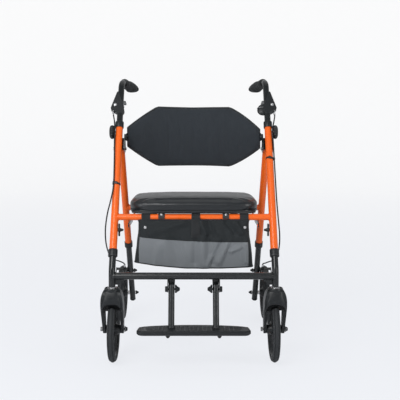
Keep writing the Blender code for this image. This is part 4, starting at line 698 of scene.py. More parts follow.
def finish_piece(name: str, mesh: bpy.types.Mesh, finish: Finish, body: str | None, smooth: float, bevel: float = 0.0,
                 segments: int = 2, subdivide: int = 0, solid: float = 0.0, stands_for: Sequence[str] = ()
                 ) -> bpy.types.Object:
    """Gives a mesh its material, shading, modifiers and body. The other arguments are those of add_piece.

    Args:
        mesh: The mesh.
        bevel: The width of rounded edges.
        segments: The steps in a rounded edge.
        subdivide: Levels of subdivision.

    Returns:
        The object.
    """
    mesh.materials.clear()
    mesh.materials.append(finish.material())
    mesh.shade_smooth()
    mesh.set_sharp_from_angle(angle=radians(smooth))
    item = shown(name, mesh)
    if solid:
        wall = item.modifiers.new("Cloth thickness", "SOLIDIFY")
        wall.thickness = solid
        wall.offset = 0.0
    if bevel:
        edge = item.modifiers.new("Soft edges", "BEVEL")
        edge.width = bevel
        edge.segments = segments
        edge.limit_method = "ANGLE"
        edge.angle_limit = radians(smooth)
        edge.harden_normals = True
    if subdivide:
        finer = item.modifiers.new("Finer", "SUBSURF")
        finer.levels = subdivide
        finer.render_levels = subdivide
    if body is not None:
        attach(item, body)
    if stands_for:
        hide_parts(*stands_for)
    LOG.info("%s: %s on %s", name, finish.name, body)
    return item


def dress_node(node: str, finish: Finish, body: str, bevel: float, segments: int = 2, smooth: float = 35.0) -> None:
    """Makes a clean copy of a frame node with rounded edges, which stands for it.

    Args:
        node: The frame node.
        finish: The finish of the copy.
        body: The body that it rides on.
        bevel: The width of its rounded edges.
        segments: The steps in a rounded edge.
        smooth: The angle, in degrees, above which an edge is rounded.
    """
    part = bmesh.new()
    part.from_mesh(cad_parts[node].data)
    bmesh.ops.remove_doubles(part, verts=part.verts[:], dist=2e-5)
    bmesh.ops.dissolve_limit(part, angle_limit=radians(1.5), verts=part.verts[:], edges=part.edges[:])
    mesh = bpy.data.meshes.new(node + "_dressed")
    part.to_mesh(mesh)
    part.free()
    finish_piece(node + "_dressed", mesh, finish, body, smooth, bevel, segments, stands_for=(node,))


def inflated(source: bpy.types.Mesh, voxel: float, shrink: float, pressure: float, cap: float,
             held: Callable[[Vector], bool]) -> bpy.types.Mesh:
    """Fills a closed cloth form with air pressure and keeps the result.

    Args:
        source: The closed mesh to start from.
        voxel: The cell size of the even mesh made from it.
        shrink: How far each point is drawn in before it swells.
        pressure: The strength of the air.
        cap: The furthest that a point may move.
        held: Tells whether a point stays where it is.

    Returns:
        The swollen mesh.
    """
    scene = bpy.context.scene
    item = shown("cloth_form", source)
    even = item.modifiers.new("Even cells", "REMESH")
    even.mode = "VOXEL"
    even.voxel_size = voxel
    cells = bpy.data.meshes.new_from_object(item.evaluated_get(bpy.context.evaluated_depsgraph_get()))
    bpy.data.objects.remove(item)
    normals = [vert.normal.copy() for vert in cells.vertices]
    for vert, normal in zip(cells.vertices, normals):
        vert.co -= normal * shrink
    rest = [vert.co.copy() for vert in cells.vertices]
    item = shown("cloth_form", cells)
    group = item.vertex_groups.new(name="held")
    group.add([vert.index for vert in cells.vertices if held(vert.co)], 1.0, "REPLACE")
    cloth = item.modifiers.new("Cloth", "CLOTH")
    settings = cloth.settings
    settings.quality = 5
    settings.mass = 0.25
    settings.tension_stiffness = 18.0
    settings.compression_stiffness = 12.0
    settings.shear_stiffness = 8.0
    settings.bending_stiffness = 1.2
    settings.use_pressure = True
    settings.uniform_pressure_force = pressure
    settings.vertex_group_mass = "held"
    settings.effector_weights.gravity = 0.0
    cloth.point_cache.frame_start = 1
    cloth.point_cache.frame_end = 20
    last = 20
    for step in range(1, last + 1):
        scene.frame_set(step)
    swollen = bpy.data.meshes.new_from_object(item.evaluated_get(bpy.context.evaluated_depsgraph_get()))
    scene.frame_set(1)
    for vert, start in zip(swollen.vertices, rest):
        move = vert.co - start
        if move.length > cap:
            vert.co = start + move.normalized() * cap
    bpy.data.objects.remove(item)
    swollen.materials.clear()
    return swollen


def hull(circles: Sequence[tuple[float, float, float]], steps: int = 28) -> list[tuple[float, float]]:
    """The outline round a group of (u, v, radius) circles.

    Args:
        circles: The circles.
        steps: The points on each circle.

    Returns:
        The outline's (u, v) points.
    """
    points = [Vector((u + r * cos(tau * k / steps), v + r * sin(tau * k / steps)))
              for u, v, r in circles for k in range(steps)]
    return [tuple(points[index]) for index in convex_hull_2d(points)]


def weld_ring(shape: Shape, side: float, bar: Vector, leg_x: float, across: Vector) -> None:
    """Adds the bead where a seat bar meets the round face of a leg.

    Args:
        shape: The shape that takes the bead.
        side: -1 for the left, 1 for the right.
        bar: The middle of the bar.
        leg_x: The distance of the leg's line from the middle.
        across: The direction square to the leg and to the bar.
    """
    path = []
    sizes = []
    for step in range(64):
        turn = tau * step / 64
        offset = Vector((0.0, cos(turn), sin(turn))) * (PLAN.bar_radius + 0.0006)
        depth = sqrt(max(0.0, PLAN.leg_radius ** 2 - offset.dot(across) ** 2))
        path.append(bar + offset + X_AXIS * side * (leg_x - depth))
        sizes.append(0.0019 * (1.0 + 0.12 * sin(turn * 13.0)))
    shape.sweep(path, sizes, 10, closed=True)


def brace_lug(shape: Shape, side: float, bar: Vector, behind: float, lug_x: float, bolt_x: float) -> None:
    """Adds the plate under a seat bar that a brace turns on, with its bolt.

    Args:
        shape: The shape that takes the plate.
        side: -1 for the left, 1 for the right.
        bar: The middle of the bar.
        behind: How far the pivot stands behind the bar.
        lug_x: The distance of the plate from the middle.
        bolt_x: The distance of the bolt's head from the middle.
    """
    y, z = bar.y + behind, bar.z - 0.03
    shape.prism(hull(((y, z, 0.008), (bar.y, bar.z - 0.004, 0.007))), side_view(side * lug_x), 0.003, 0.0006)
    shape.bolt((side * bolt_x, y, z), (side if bolt_x > lug_x else -side, 0, 0), 0.0042, 0.0022)


@dataclass
class FrontFrame:
    """The orange front legs and seat bar, and all that is bolted or clipped to them."""

    body: str = "front_frame"
    low_at: float = 0.0637
    high_at: float = 0.573
    cross_z: float = 0.312
    cross_radius: float = 0.0122
    leg_end_z: float = 0.2745
    crown_z: float = 0.268
    foot_y: float = -0.324
    foot_z: float = 0.269
    foot_x: float = 0.0765
    foot_radius: float = 0.0108
    tab_y: float = -0.303
    plate: float = 0.003
    brace_lug_x: float = 0.23725
    brace_bolt_x: float = 0.2307
    hinge_bolt_x: tuple[float, float] = (0.2592, 0.3001)
    tie_at: tuple[float, float] = (0.327, 0.43)
    tie_cable: Outline = ((0.2925, -0.0151), (0.2995, -0.0065))

    def build(self) -> None:
        """Makes every piece of the front frame."""
        self.tubes()
        self.collars()
        self.lower_frame()
        self.hinges()
        self.ties()

    def tubes(self) -> None:
        """The powder-coated legs and seat bar with their weld beads and brace lugs."""
        shape = Shape()
        bar = PLAN.front_bar
        for _, side in SIDES:
            x = side * PLAN.leg_x
            shape.sweep((PLAN.front(self.low_at, 0.0, x), PLAN.front(self.high_at, 0.0, x)), PLAN.leg_radius, 48)
            weld_ring(shape, side, bar, PLAN.leg_x, PLAN.back)
            brace_lug(shape, side, bar, 0.006, self.brace_lug_x, self.brace_bolt_x)
        reach = X_AXIS * PLAN.leg_x
        shape.sweep((bar - reach, bar + reach), PLAN.bar_radius, 40)
        add_piece("front_tubes_finished", shape, ORANGE, self.body, stands_for=("front_frame_tubes",))

    def collars(self) -> None:
        """The plastic collars at both ends of the orange legs."""
        upper = ((0.0121, 0.013), (0.015, 0.013), (0.016, 0.012), (0.0163, 0.0105), (0.0163, 0.006),
                 (0.0157, 0.0055), (0.0157, 0.0042), (0.0163, 0.0037), (0.0163, -0.011), (0.0156, -0.013),
                 (0.0137, -0.013))
        for label, side in SIDES:
            x = side * PLAN.leg_x
            top = Shape().turned(upper, pointed(PLAN.front(self.high_at, 0.0, x), PLAN.up))
            top.bolt(PLAN.front(self.high_at - 0.006, -0.016, x), -PLAN.back, 0.0026, 0.0018)
            add_piece("post_collar_finished_" + label, top, PLASTIC, self.body, 30.0,
                      stands_for=("post_collar_" + label,))
            low = [(radius + 0.0003, -height) for radius, height in upper]
            ring = Shape().turned(low, pointed(PLAN.front(self.low_at, 0.0, x), PLAN.up))
            add_piece("leg_collar_" + label, ring, PLASTIC, self.body, 30.0)

    def lower_frame(self) -> None:
        """The black lower legs and cross tube with gussets, footrest hangers and caster seats."""
        shape = Shape()
        middle = Vector((0.0, PLAN.stem_y, self.cross_z))
        shape.sweep((middle - X_AXIS * PLAN.leg_x, middle + X_AXIS * PLAN.leg_x), self.cross_radius, 40)
        flat = placed((0, PLAN.stem_y, 0), (1, 0, 0), (0, 0, 1))
        for _, side in SIDES:
            x = side * PLAN.leg_x
            foot = Vector((x, PLAN.stem_y, self.leg_end_z))
            line = rounded((PLAN.front(0.185, 0.0, x), PLAN.front(0.0, 0.0, x), foot), 0.05)
            shape.sweep(line, PLAN.inner_radius, 40)
            ring = [Vector((side * (PLAN.leg_x - 0.0112), PLAN.stem_y, self.cross_z)) + turn
                    for turn in circle((0, 0, 0), (0, 1, 0), (0, 0, 1), self.cross_radius + 0.0004, 48)]
            shape.sweep(ring, 0.0018, 10, closed=True)
            outer = side * (PLAN.leg_x - PLAN.inner_radius + 0.0014)
            inner = outer - side * 0.034
            below = self.cross_z - self.cross_radius
            gusset = ((inner, self.cross_z - 0.004), (outer, self.cross_z - 0.004), (outer, below - 0.018),
                      (outer - side * 0.012, below - 0.018), (inner, below - 0.001))
            shape.prism(gusset, flat, self.plate, 0.0005)
            hanger = side * (self.foot_x + self.foot_radius + 0.0006 + self.plate / 2.0)
            outline = hull(((self.foot_y, self.foot_z, 0.0115), (PLAN.stem_y, self.cross_z - 0.002, 0.01)))
            shape.prism(outline, side_view(hanger), self.plate, 0.0006)
            tab = ((-0.0105, 0.2745), (0.0105, 0.2745), (0.0125, 0.306), (-0.0125, 0.306))
            tab_place = placed((side * self.foot_x, self.tab_y, 0), (1, 0, 0), (0, 0, 1))
            shape.prism(tab, tab_place, self.plate, 0.0006)
            boss = ((0.01, 0.0), (0.01, 0.007), (0.0088, 0.0085), (0.0042, 0.0088), (0.0036, 0.007),
                    (0.0, 0.007))
            shape.turned(boss, pointed((hanger + side * 0.0008, self.foot_y, self.foot_z), (side, 0, 0)), 32)
        add_piece("lower_frame_finished", shape, BLACK_PAINT, self.body, stands_for=("lower_frame",))
        low, high = self.crown_z, self.leg_end_z + 0.0006
        race = ((0.0, low + 0.0006), (0.015, low + 0.0006), (0.0158, low + 0.0016), (0.0158, low + 0.0032),
                (0.0142, low + 0.0036), (0.0142, high), (0.0, high))
        for label, side in SIDES:
            cup = Shape().turned(race, Matrix.Translation((side * PLAN.leg_x, PLAN.stem_y, 0.0)))
            add_piece("caster_race_" + label, cup, STEEL, self.body, 30.0)

    def hinges(self) -> None:
        """The channels that carry the rear legs, with their bolts."""
        for label, side in SIDES:
            dress_node("hinge_bracket_" + label, BLACK_PAINT, self.body, 0.0007)
            inner, outer = ((side * x, PLAN.hinge.y, PLAN.hinge.z) for x in self.hinge_bolt_x)
            pin = Shape().sweep((inner, outer), 0.004, 20)
            pin.bolt(outer, (side, 0, 0), 0.006, 0.007)
            pin.nut(inner, (-side, 0, 0), 0.0068, 0.0045)
            add_piece("hinge_bolt_finished_" + label, pin, STEEL, self.body, stands_for=("hinge_bolt_" + label,))

    def ties(self) -> None:
        """The plastic ties that hold the brake cables on the legs."""
        for (label, side), at, (x, offset) in zip(SIDES, self.tie_at, self.tie_cable):
            tilt = PLAN.up + X_AXIS * 0.16
            across = PLAN.back
            matrix = placed(PLAN.front(at, 0.0, side * PLAN.leg_x), across.cross(tilt), across)
            u = (x - PLAN.leg_x) * side
            band = hull(((0.0, 0.0, PLAN.leg_radius + 0.0011), (u, offset, 0.0037)), 40)
            shape = Shape().prism(band, matrix, 0.0074, 0.0005)
            lock = ((-0.006, -0.018), (0.0045, -0.018), (0.0045, -0.0125), (-0.006, -0.0125))
            shape.prism(lock, matrix, 0.0092, 0.0006)
            add_piece("cable_tie_" + label, shape, PLASTIC, self.body)


@dataclass
class RearFrame:
    """The orange rear legs and seat bar, the black lower legs, axles and brake brackets."""

    body: str = "rear_frame"
    collar_from_axle: float = 0.262
    overlap: float = 0.09
    tail: float = 0.036
    barrel_half: float = 0.013
    brace_lug_x: float = 0.23475
    brace_bolt_x: float = 0.2413
    cap_length: float = 0.0125
    bolt_above: float = 0.122

    def build(self) -> None:
        """Makes every piece of the rear frame."""
        self.tubes()
        self.lower_legs()
        for label, side in SIDES:
            dress_node("rear_axle_" + label, STEEL, self.body, 0.0005)
            dress_node("brake_bracket_" + label, BLACK_PAINT, self.body, 0.0006)
            self.caps(label, side)

    def tubes(self) -> None:
        """The powder-coated legs, hinge barrels and seat bar."""
        shape = Shape()
        bar = PLAN.rear_bar
        run = (bar - PLAN.hinge).length
        bar_x = PLAN.rear(run, 1.0).x
        for _, side in SIDES:
            end = PLAN.rear(PLAN.rear_length - self.collar_from_axle, side)
            shape.sweep((PLAN.rear(0.004, side), end), PLAN.leg_radius, 48)
            middle = Vector((side * PLAN.rear_top_x, PLAN.hinge.y, PLAN.hinge.z))
            shape.sweep((middle - X_AXIS * self.barrel_half, middle + X_AXIS * self.barrel_half), PLAN.leg_radius, 48)
            weld_ring(shape, side, bar, bar_x, PLAN.forward)
            brace_lug(shape, side, bar, -0.006, self.brace_lug_x, self.brace_bolt_x)
        reach = X_AXIS * bar_x
        shape.sweep((bar - reach, bar + reach), PLAN.bar_radius, 40)
        add_piece("rear_tubes_finished", shape, ORANGE, self.body, stands_for=("rear_frame_tubes",))

    def lower_legs(self) -> None:
        """The black tubes with their collars and end plugs."""
        collar = ((0.0121, -0.013), (0.015, -0.013), (0.0163, -0.0112), (0.0163, 0.011), (0.0156, 0.013),
                  (0.0137, 0.013))
        plug = ((0.0, -0.004), (0.0112, -0.004), (0.0122, 0.0), (0.0126, 0.0015), (0.011, 0.0042), (0.0, 0.005))
        for label, side in SIDES:
            length = PLAN.rear_length
            top = PLAN.rear(length - self.collar_from_axle - self.overlap, side)
            end = PLAN.rear(length + self.tail, side)
            along = (end - top).normalized()
            shape = Shape().sweep((top, end), PLAN.inner_radius, 40)
            add_piece("rear_leg_finished_" + label, shape, BLACK_PAINT, self.body,
                      stands_for=("rear_lower_leg_" + label,))
            start = PLAN.rear(length - self.collar_from_axle, side)
            ring = Shape().turned(collar, pointed(start, -along))
            ring.turned(plug, pointed(end - along * 0.002, along), 32)
            add_piece("rear_leg_trim_" + label, ring, PLASTIC, self.body, 30.0)

    def caps(self, label: str, side: float) -> None:
        """The plastic caps on the inner ends of the axle and of the brake bolt.

        Args:
            label: The side's name.
            side: -1 for the left, 1 for the right.
        """
        shape = Shape()
        cap = ((0.0, 0.0), (0.0082, 0.0), (0.0086, 0.0015), (0.007, 0.005), (0.0045, 0.009),
               (0.0036, self.cap_length), (0.0, self.cap_length + 0.0008))
        for from_axle in (0.0, self.bolt_above):
            place = PLAN.rear(PLAN.rear_length - from_axle, side)
            face = place - X_AXIS * side * (PLAN.inner_radius + 0.0025)
            shape.turned(cap, pointed(face, (-side, 0, 0)), 28)
        add_piece("leg_bolt_caps_" + label, shape, PLASTIC, self.body, 30.0)


@dataclass
class Braces:
    """The flat links on the sides under the seat."""

    def build(self) -> None:
        """Dresses the four links."""
        for label, _ in SIDES:
            dress_node("front_brace_" + label, BLACK_PAINT, "front_braces", 0.0007)
            dress_node("rear_brace_" + label, BLACK_PAINT, "rear_braces", 0.0007)


@dataclass
class Seat:
    """The vinyl cushion on its board, held on the seat bars by clips."""

    body: str = "seat"
    half_width: float = 0.239
    depth: float = 0.325
    front_overhang: float = 0.02
    low_z: float = 0.5268
    high_z: float = 0.5738
    voxel: float = 0.0055
    clip_x: float = 0.115

    def build(self) -> None:
        """Makes the cushion, its rolled hem, the board and the clip bolts."""
        self.cushion()
        self.hem()
        dress_node("seat_board", BOARD, self.body, 0.0008)
        shape = Shape()
        lean = Vector((0.0, -0.7, 0.71)).normalized()
        for x in (-self.clip_x, self.clip_x):
            shape.bolt(PLAN.front_bar + X_AXIS * x + lean * 0.0151, lean, 0.0042, 0.0034)
        add_piece("clip_bolts", shape, STEEL, self.body)

    @property
    def centre_y(self) -> float:
        """The middle of the cushion's depth."""
        return PLAN.front_bar.y - self.front_overhang + self.depth / 2.0

    def edge(self, u: float, inset: float) -> tuple[float, float]:
        """A place round the cushion's plan, drawn in by an inset.

        Args:
            u: The share of the way round it.
            inset: How far it is drawn in.

        Returns:
            The place as (x, y).
        """
        turn = tau * u
        power = 0.4 + 0.55 * min(1.0, inset / 0.15)
        across, deep = self.half_width - inset, self.depth / 2.0 - inset
        return eased(cos(turn), power) * across, self.centre_y + eased(sin(turn), power) * deep

    def cushion(self) -> None:
        """The cushion: a crowned form filled with air pressure, with small creases in its sides."""
        base, shoulder, crown = self.low_z + 0.0004, self.high_z - 0.006, 0.0045
        middle, half = (base + shoulder) / 2.0, (shoulder - base) / 2.0

        def place(u: float, v: float) -> Vector:
            """A place on the side or the crown, u round it and v upwards."""
            if v < 0.7:
                turn = pi * (v / 0.7 - 0.5)
                inset = (0.009 if turn < 0.0 else 0.026) * (1.0 - cos(turn))
                return Vector((*self.edge(u, inset), middle + half * sin(turn)))
            share = (v - 0.7) / 0.3
            return Vector((*self.edge(u, 0.026 + 0.069 * share), shoulder + crown * sin(share * pi / 2.0)))

        source = Shape().formed(160, 40, place).finished("cushion_form")
        mesh = inflated(source, self.voxel, 0.0012, 3.5, 0.0035, lambda spot: spot.z < base + 0.004)
        for vert in mesh.vertices:
            self.crease(vert)
        item = finish_piece("seat_cushion_finished", mesh, VINYL, self.body, 80.0, subdivide=1,
                            stands_for=("seat_cushion",))

    def hem(self) -> None:
        """The vinyl's edge, rolled under round the board."""
        points = ((0.005, 0.003), (0.0046, 0.0), (0.0052, -0.004), (0.0075, -0.0066), (0.0105, -0.007),
                  (0.012, -0.005), (0.012, -0.001), (0.01, 0.0006))

        def place(u: float, v: float) -> Vector:
            """A place on the hem, u round the board and v across it."""
            inset, rise = points[round(v * 8) % 8]
            return Vector((*self.edge(u, inset), self.low_z + rise))

        add_piece("seat_cushion_hem", Shape().formed(200, 8, place, fill=False), VINYL, self.body, 70.0)

    def crease(self, vert: bpy.types.MeshVertex) -> None:
        """Moves a point of the cushion for the small creases of its sides.

        Args:
            vert: The point.
        """
        x, y, z = vert.co
        edge = max(abs(x) / self.half_width, abs(y - self.centre_y) / (self.depth / 2.0))
        rub = noise.noise(Vector((x * 13.0, y * 13.0, z * 20.0))) * 0.0008
        pucker = noise.noise(Vector((x * 70.0, y * 70.0, z * 18.0))) * 0.0005 * max(0.0, edge - 0.62) * 2.0
        vert.co = vert.co + vert.normal * (rub + pucker)


@dataclass
class Backrest:
    """The padded band between its two arms."""

    body: str = "backrest"
    half_width: float = 0.2554
    half_height: float = 0.119
    end_half_height: float = 0.037
    flat_half: float = 0.142
    thickness: float = 0.026
    bow: float = 0.1
    pivot_at: float = 0.523
    set_back: float = 0.05
    voxel: float = 0.0052

    @property
    def pivot(self) -> Vector:
        """The line that the band swings on."""
        return PLAN.front(self.pivot_at, 0.004)

    def half_height_at(self, x: float) -> float:
        """Half the band's height at a distance from its middle.

        Args:
            x: The distance.

        Returns:
            The half height.
        """
        reach = abs(x)
        if reach <= self.flat_half:
            return self.half_height
        share = (reach - self.flat_half) / (self.half_width - self.flat_half)
        curve = 0.66 * share + 0.34 * share ** 2 if x > 0 else 0.8 * share + 0.2 * share ** 2
        return self.half_height - (self.half_height - self.end_half_height) * curve

    def sag(self, x: float) -> float:
        """How far the band hangs lower on its right half."""
        return -0.0075 * max(0.0, x / self.half_width) ** 2

    def trim(self, x: float, up: float) -> float:
        """The share of the height that the cut leaves: a slack upper edge and a shorter lower half."""
        slack = 0.03 * max(0.0, 1.0 - abs(x) / self.flat_half) ** 0.8
        return 1.0 - slack if up > 0 else 0.966

    def middle_y(self, x: float) -> float:
        """The band's middle plane at a distance from its middle."""
        return self.pivot.y + self.set_back + self.bow * (1.0 - (x / self.half_width) ** 2)

    def surface(self, u: float, v: float) -> Vector:
        """A point on the band: u runs round its section and v from end to end.

        Args:
            u: The share of the way round it.
            v: The share of the way along it.

        Returns:
            The point.
        """
        x = self.half_width * sin(pi * (v - 0.5))
        edge = min(1.0, (1.0 - abs(x) / self.half_width) / 0.07)
        depth = self.thickness / 2.0 * (0.45 + 0.55 * sqrt(max(edge, 0.0)))
        lean = min(1.0, (1.0 - abs(x) / self.half_width) / 0.15)
        normal = Vector((2.0 * self.bow * x / self.half_width ** 2 * lean, 1.0, 0.0)).normalized()
        turn = tau * u
        across = eased(cos(turn), 0.55) * depth
        up = eased(sin(turn), 0.75) * (self.half_height_at(x) - 0.002)
        up *= self.trim(x, up)
        return Vector((x, self.middle_y(x), self.pivot.z + self.sag(x) + up)) + normal * across

    def build(self) -> None:
        """Makes the pad, its edge binding and the arms."""
        source = Shape().formed(72, 96, self.surface).finished("pad_form")
        mesh = inflated(source, self.voxel, 0.0012, 3.0, 0.004,
                        lambda place: abs(place.z - self.pivot.z) > self.half_height_at(place.x) - 0.01)
        for vert in mesh.vertices:
            x, z = vert.co.x, vert.co.z
            ends = max(0.0, abs(x) / self.half_width - 0.45)
            fold = noise.noise(Vector((x * 11.0, 0.0, z * 15.0))) * 0.0016
            pull = noise.noise(Vector((x * 14.0, 3.0, z * 52.0))) * 0.0024 * ends
            vert.co = vert.co + vert.normal * (fold + pull)
        item = finish_piece("backrest_pad_finished", mesh, PAD_CLOTH, self.body, 80.0, subdivide=1,
                            stands_for=("backrest_pad",))
        binding = Shape().sweep(self.rim(), 0.0043, 14, flat=0.9, closed=True)
        add_piece("backrest_binding", binding, PAD_BINDING, self.body)
        for label, side in SIDES:
            dress_node("backrest_arm_" + label, PLASTIC, self.body, 0.0008)
            shape = Shape()
            for drop in (-0.01, 0.01):
                place = (side * (self.half_width + 0.0031), self.pivot.y + self.set_back + 0.002, self.pivot.z + drop)
                shape.bolt(place, (side, 0, 0), 0.0032, 0.002)
            add_piece("backrest_rivets_" + label, shape, STEEL, self.body)

    def rim(self) -> list[Vector]:
        """The closed line round the band's edge.

        Returns:
            The points of the line.
        """
        stations = [self.half_width * 0.992 * sin(pi * (step / 60 - 0.5)) for step in range(61)]

        def edge_point(x: float, sign: float) -> Vector:
            """A point on the upper or the lower edge."""
            rise = (self.half_height_at(x) - 0.003) * self.trim(x, sign) * sign
            return Vector((x, self.middle_y(x), self.pivot.z + self.sag(x) + rise))

        top = [edge_point(x, 1.0) for x in stations]
        low = [edge_point(x, -1.0) for x in reversed(stations)]
        right = [top[-1].lerp(low[0], share / 6) for share in range(1, 6)]
        left = [low[-1].lerp(top[0], share / 6) for share in range(1, 6)]
        return top + right + low + left


@dataclass
class Bag:
    """The cloth bag that hangs from the seat bars by webbing."""

    body: str = "front_frame"
    top_half: float = 0.198
    bottom_half: float = 0.212
    front_top: float = 0.496
    rear_top: float = 0.436
    bottom: float = 0.3235
    depth: float = 0.26
    corner: float = 0.014
    belly: float = 0.011
    front_strap_x: tuple[float, ...] = (-0.1708, 0.0077, 0.1804)
    rear_strap_x: tuple[float, ...] = (-0.16, 0.16)
    strap_half: float = 0.0155
    cloth: float = 0.0014
    border: float = 0.0435
    front_share: float = 0.1865
    rear_share: float = 0.115
    crease_gain: float = 1.5
    # Each crease: x and z of its start, x and z of its end, depth, width.
    creases: tuple[tuple[float, ...], ...] = (
        (0.03, 0.425, 0.034, 0.335, 0.0055, 0.016), (0.01, 0.425, 0.004, 0.345, -0.0045, 0.012),
        (0.118, 0.41, 0.088, 0.345, 0.0055, 0.01), (0.1, 0.41, 0.066, 0.34, -0.0045, 0.01),
        (0.168, 0.4, 0.136, 0.385, 0.0045, 0.007), (0.184, 0.41, 0.186, 0.345, 0.0035, 0.009),
        (0.064, 0.362, 0.05, 0.335, 0.004, 0.01), (-0.033, 0.49, -0.15, 0.452, 0.0045, 0.014),
        (0.026, 0.488, 0.042, 0.448, 0.0055, 0.009), (0.055, 0.486, 0.078, 0.44, -0.005, 0.01),
        (0.152, 0.484, 0.172, 0.45, 0.005, 0.008), (0.118, 0.488, 0.148, 0.452, -0.0045, 0.009),
        (-0.12, 0.405, -0.137, 0.34, 0.0035, 0.016), (-0.07, 0.415, -0.063, 0.34, -0.003, 0.018))

    @property
    def front_y(self) -> float:
        """The front of the bag at its top."""
        return PLAN.front_bar.y - PLAN.bar_radius - 0.001

    @property
    def rear_y(self) -> float:
        """The rear of the bag at its top."""
        return PLAN.front_bar.y + self.depth

    def rim(self, share: float, v: float) -> tuple[float, float]:
        """A place round the bag's plan.

        Args:
            share: 0 to 1, from the middle of the rear, past the left end, the front and the right end.
            v: 0 at the top and 1 at the bottom.

        Returns:
            The place as (x, y).
        """
        swell = sin(pi * min(v, 1.0))
        half_x = self.top_half + (self.bottom_half - self.top_half) * max(0.0, (v - 0.3) / 0.7)
        front = self.front_y - self.belly * swell
        rear = self.rear_y + 0.006 * swell
        half_y, middle, corner = (rear - front) / 2.0, (front + rear) / 2.0, self.corner
        flat_x, flat_y = half_x - corner, half_y - corner
        arc = pi * corner / 2.0
        walk = share * (4.0 * (flat_x + flat_y) + 4.0 * arc)
        sides = ((flat_x, (0, 1), (-1, 0)), (2 * flat_y, (-1, 0), (0, -1)), (2 * flat_x, (0, -1), (1, 0)),
                 (2 * flat_y, (1, 0), (0, 1)))
        for index, (run, out, ahead) in enumerate(sides):
            if walk <= run:
                along = walk - (run / 2.0 if index else 0.0)
                return ahead[0] * along + out[0] * half_x, middle + (ahead[1] * along + out[1] * half_y)
            walk -= run
            if walk <= arc:
                turn = walk / corner
                after = sides[(index + 1) % 4][1]
                x, y = (flat * (out[k] + after[k]) + corner * (out[k] * cos(turn) + after[k] * sin(turn))
                        for k, flat in enumerate((flat_x, flat_y)))
                return x, middle + y
            walk -= arc
        return flat_x - walk, middle + half_y

    def low_edge(self, x: float, forward: float) -> float:
        """The height of the bottom edge, which sags towards the right of the middle at the front.

        Args:
            x: The distance from the middle.
            forward: 0 at the rear and 1 at the front.

        Returns:
            The height.
        """
        left = max(0.0, -x / self.bottom_half - 0.1) ** 1.4 * 0.025
        right = max(0.0, x / self.bottom_half - 0.45) ** 1.3 * 0.011
        return self.bottom + (left + right) * forward

    def surface(self, share: float, v: float) -> Vector:
        """A point on the bag's wall, with its wrinkles.

        Args:
            share: The share of the way round, as in rim.
            v: 0 at the top and 1 at the bottom.

        Returns:
            The point.
        """
        x, y = self.rim(share, v)
        forward = min(1.0, max(0.0, (self.rear_y - y) / (self.rear_y - self.front_y)))
        top = self.rear_top + (self.front_top - self.rear_top) * forward
        z = top + (self.low_edge(x, forward) - top) * v
        out = Vector((x, (y - (self.front_y + self.rear_y) / 2.0) * 1.6, 0.0)).normalized()
        free = sin(pi * min(1.0, v * 0.9 + 0.06))
        soft = noise.noise(Vector((x * 15.0 + 3.0, y * 15.0, z * 4.0))) * 0.0075
        drape = noise.noise(Vector((x * 36.0, y * 36.0, z * 9.0 + x * 14.0))) * 0.0036
        pull = noise.noise(Vector((x * 22.0 + z * 30.0, y * 20.0, z * 22.0))) * 0.0034 * max(0.0, 0.55 - v)
        creased = self.creased(x, z) * max(0.0, forward - 0.8) * 5.0
        return Vector((x, y, z)) + out * ((soft + drape) * free + pull + creased)

    def creased(self, x: float, z: float) -> float:
        """How far the front stands out at a place, for the creases that the photograph shows.

        Args:
            x: The distance from the middle.
            z: The height.

        Returns:
            How far it stands out.
        """
        total = 0.0
        for x_1, z_1, x_2, z_2, depth, width in self.creases:
            run, rise = x_2 - x_1, z_2 - z_1
            long = hypot(run, rise)
            share = min(1.0, max(0.0, ((x - x_1) * run + (z - z_1) * rise) / long ** 2))
            away = hypot(x - x_1 - run * share, z - z_1 - rise * share)
            total += self.crease_gain * depth * exp(-(away / width) ** 2)
        return total

    def panel(self, name: str, shares: tuple[float, float], levels: tuple[Level, Level], finish: Finish,
              stands_for: Sequence[str]) -> None:
        """One sewn panel of the wall.

        Args:
            name: The piece's name.
            shares: Where it starts and ends round the bag.
            levels: Its upper and lower edge, each as a share of the height by place round the bag.
            finish: Its finish.
            stands_for: The frame nodes that it replaces.
        """
        low, high = shares

        def place(u: float, v: float) -> Vector:
            """A place on the panel, u along it and v down it."""
            share = low + (high - low) * u
            upper, lower = levels[0](share), levels[1](share)
            return self.surface(share % 1.0, upper + (lower - upper) * v)

        columns = max(24, round((high - low) * 400))
        shape = Shape().formed(columns, 36, place, fill=False)
        area = sum(face.calc_area() for face in shape.mesh.faces)
        wide = sum((place((k + 1) / 40, 0.5) - place(k / 40, 0.5)).length for k in range(40))
        item = add_piece(name, shape, finish, self.body, 60.0, solid=self.cloth, stands_for=stands_for)

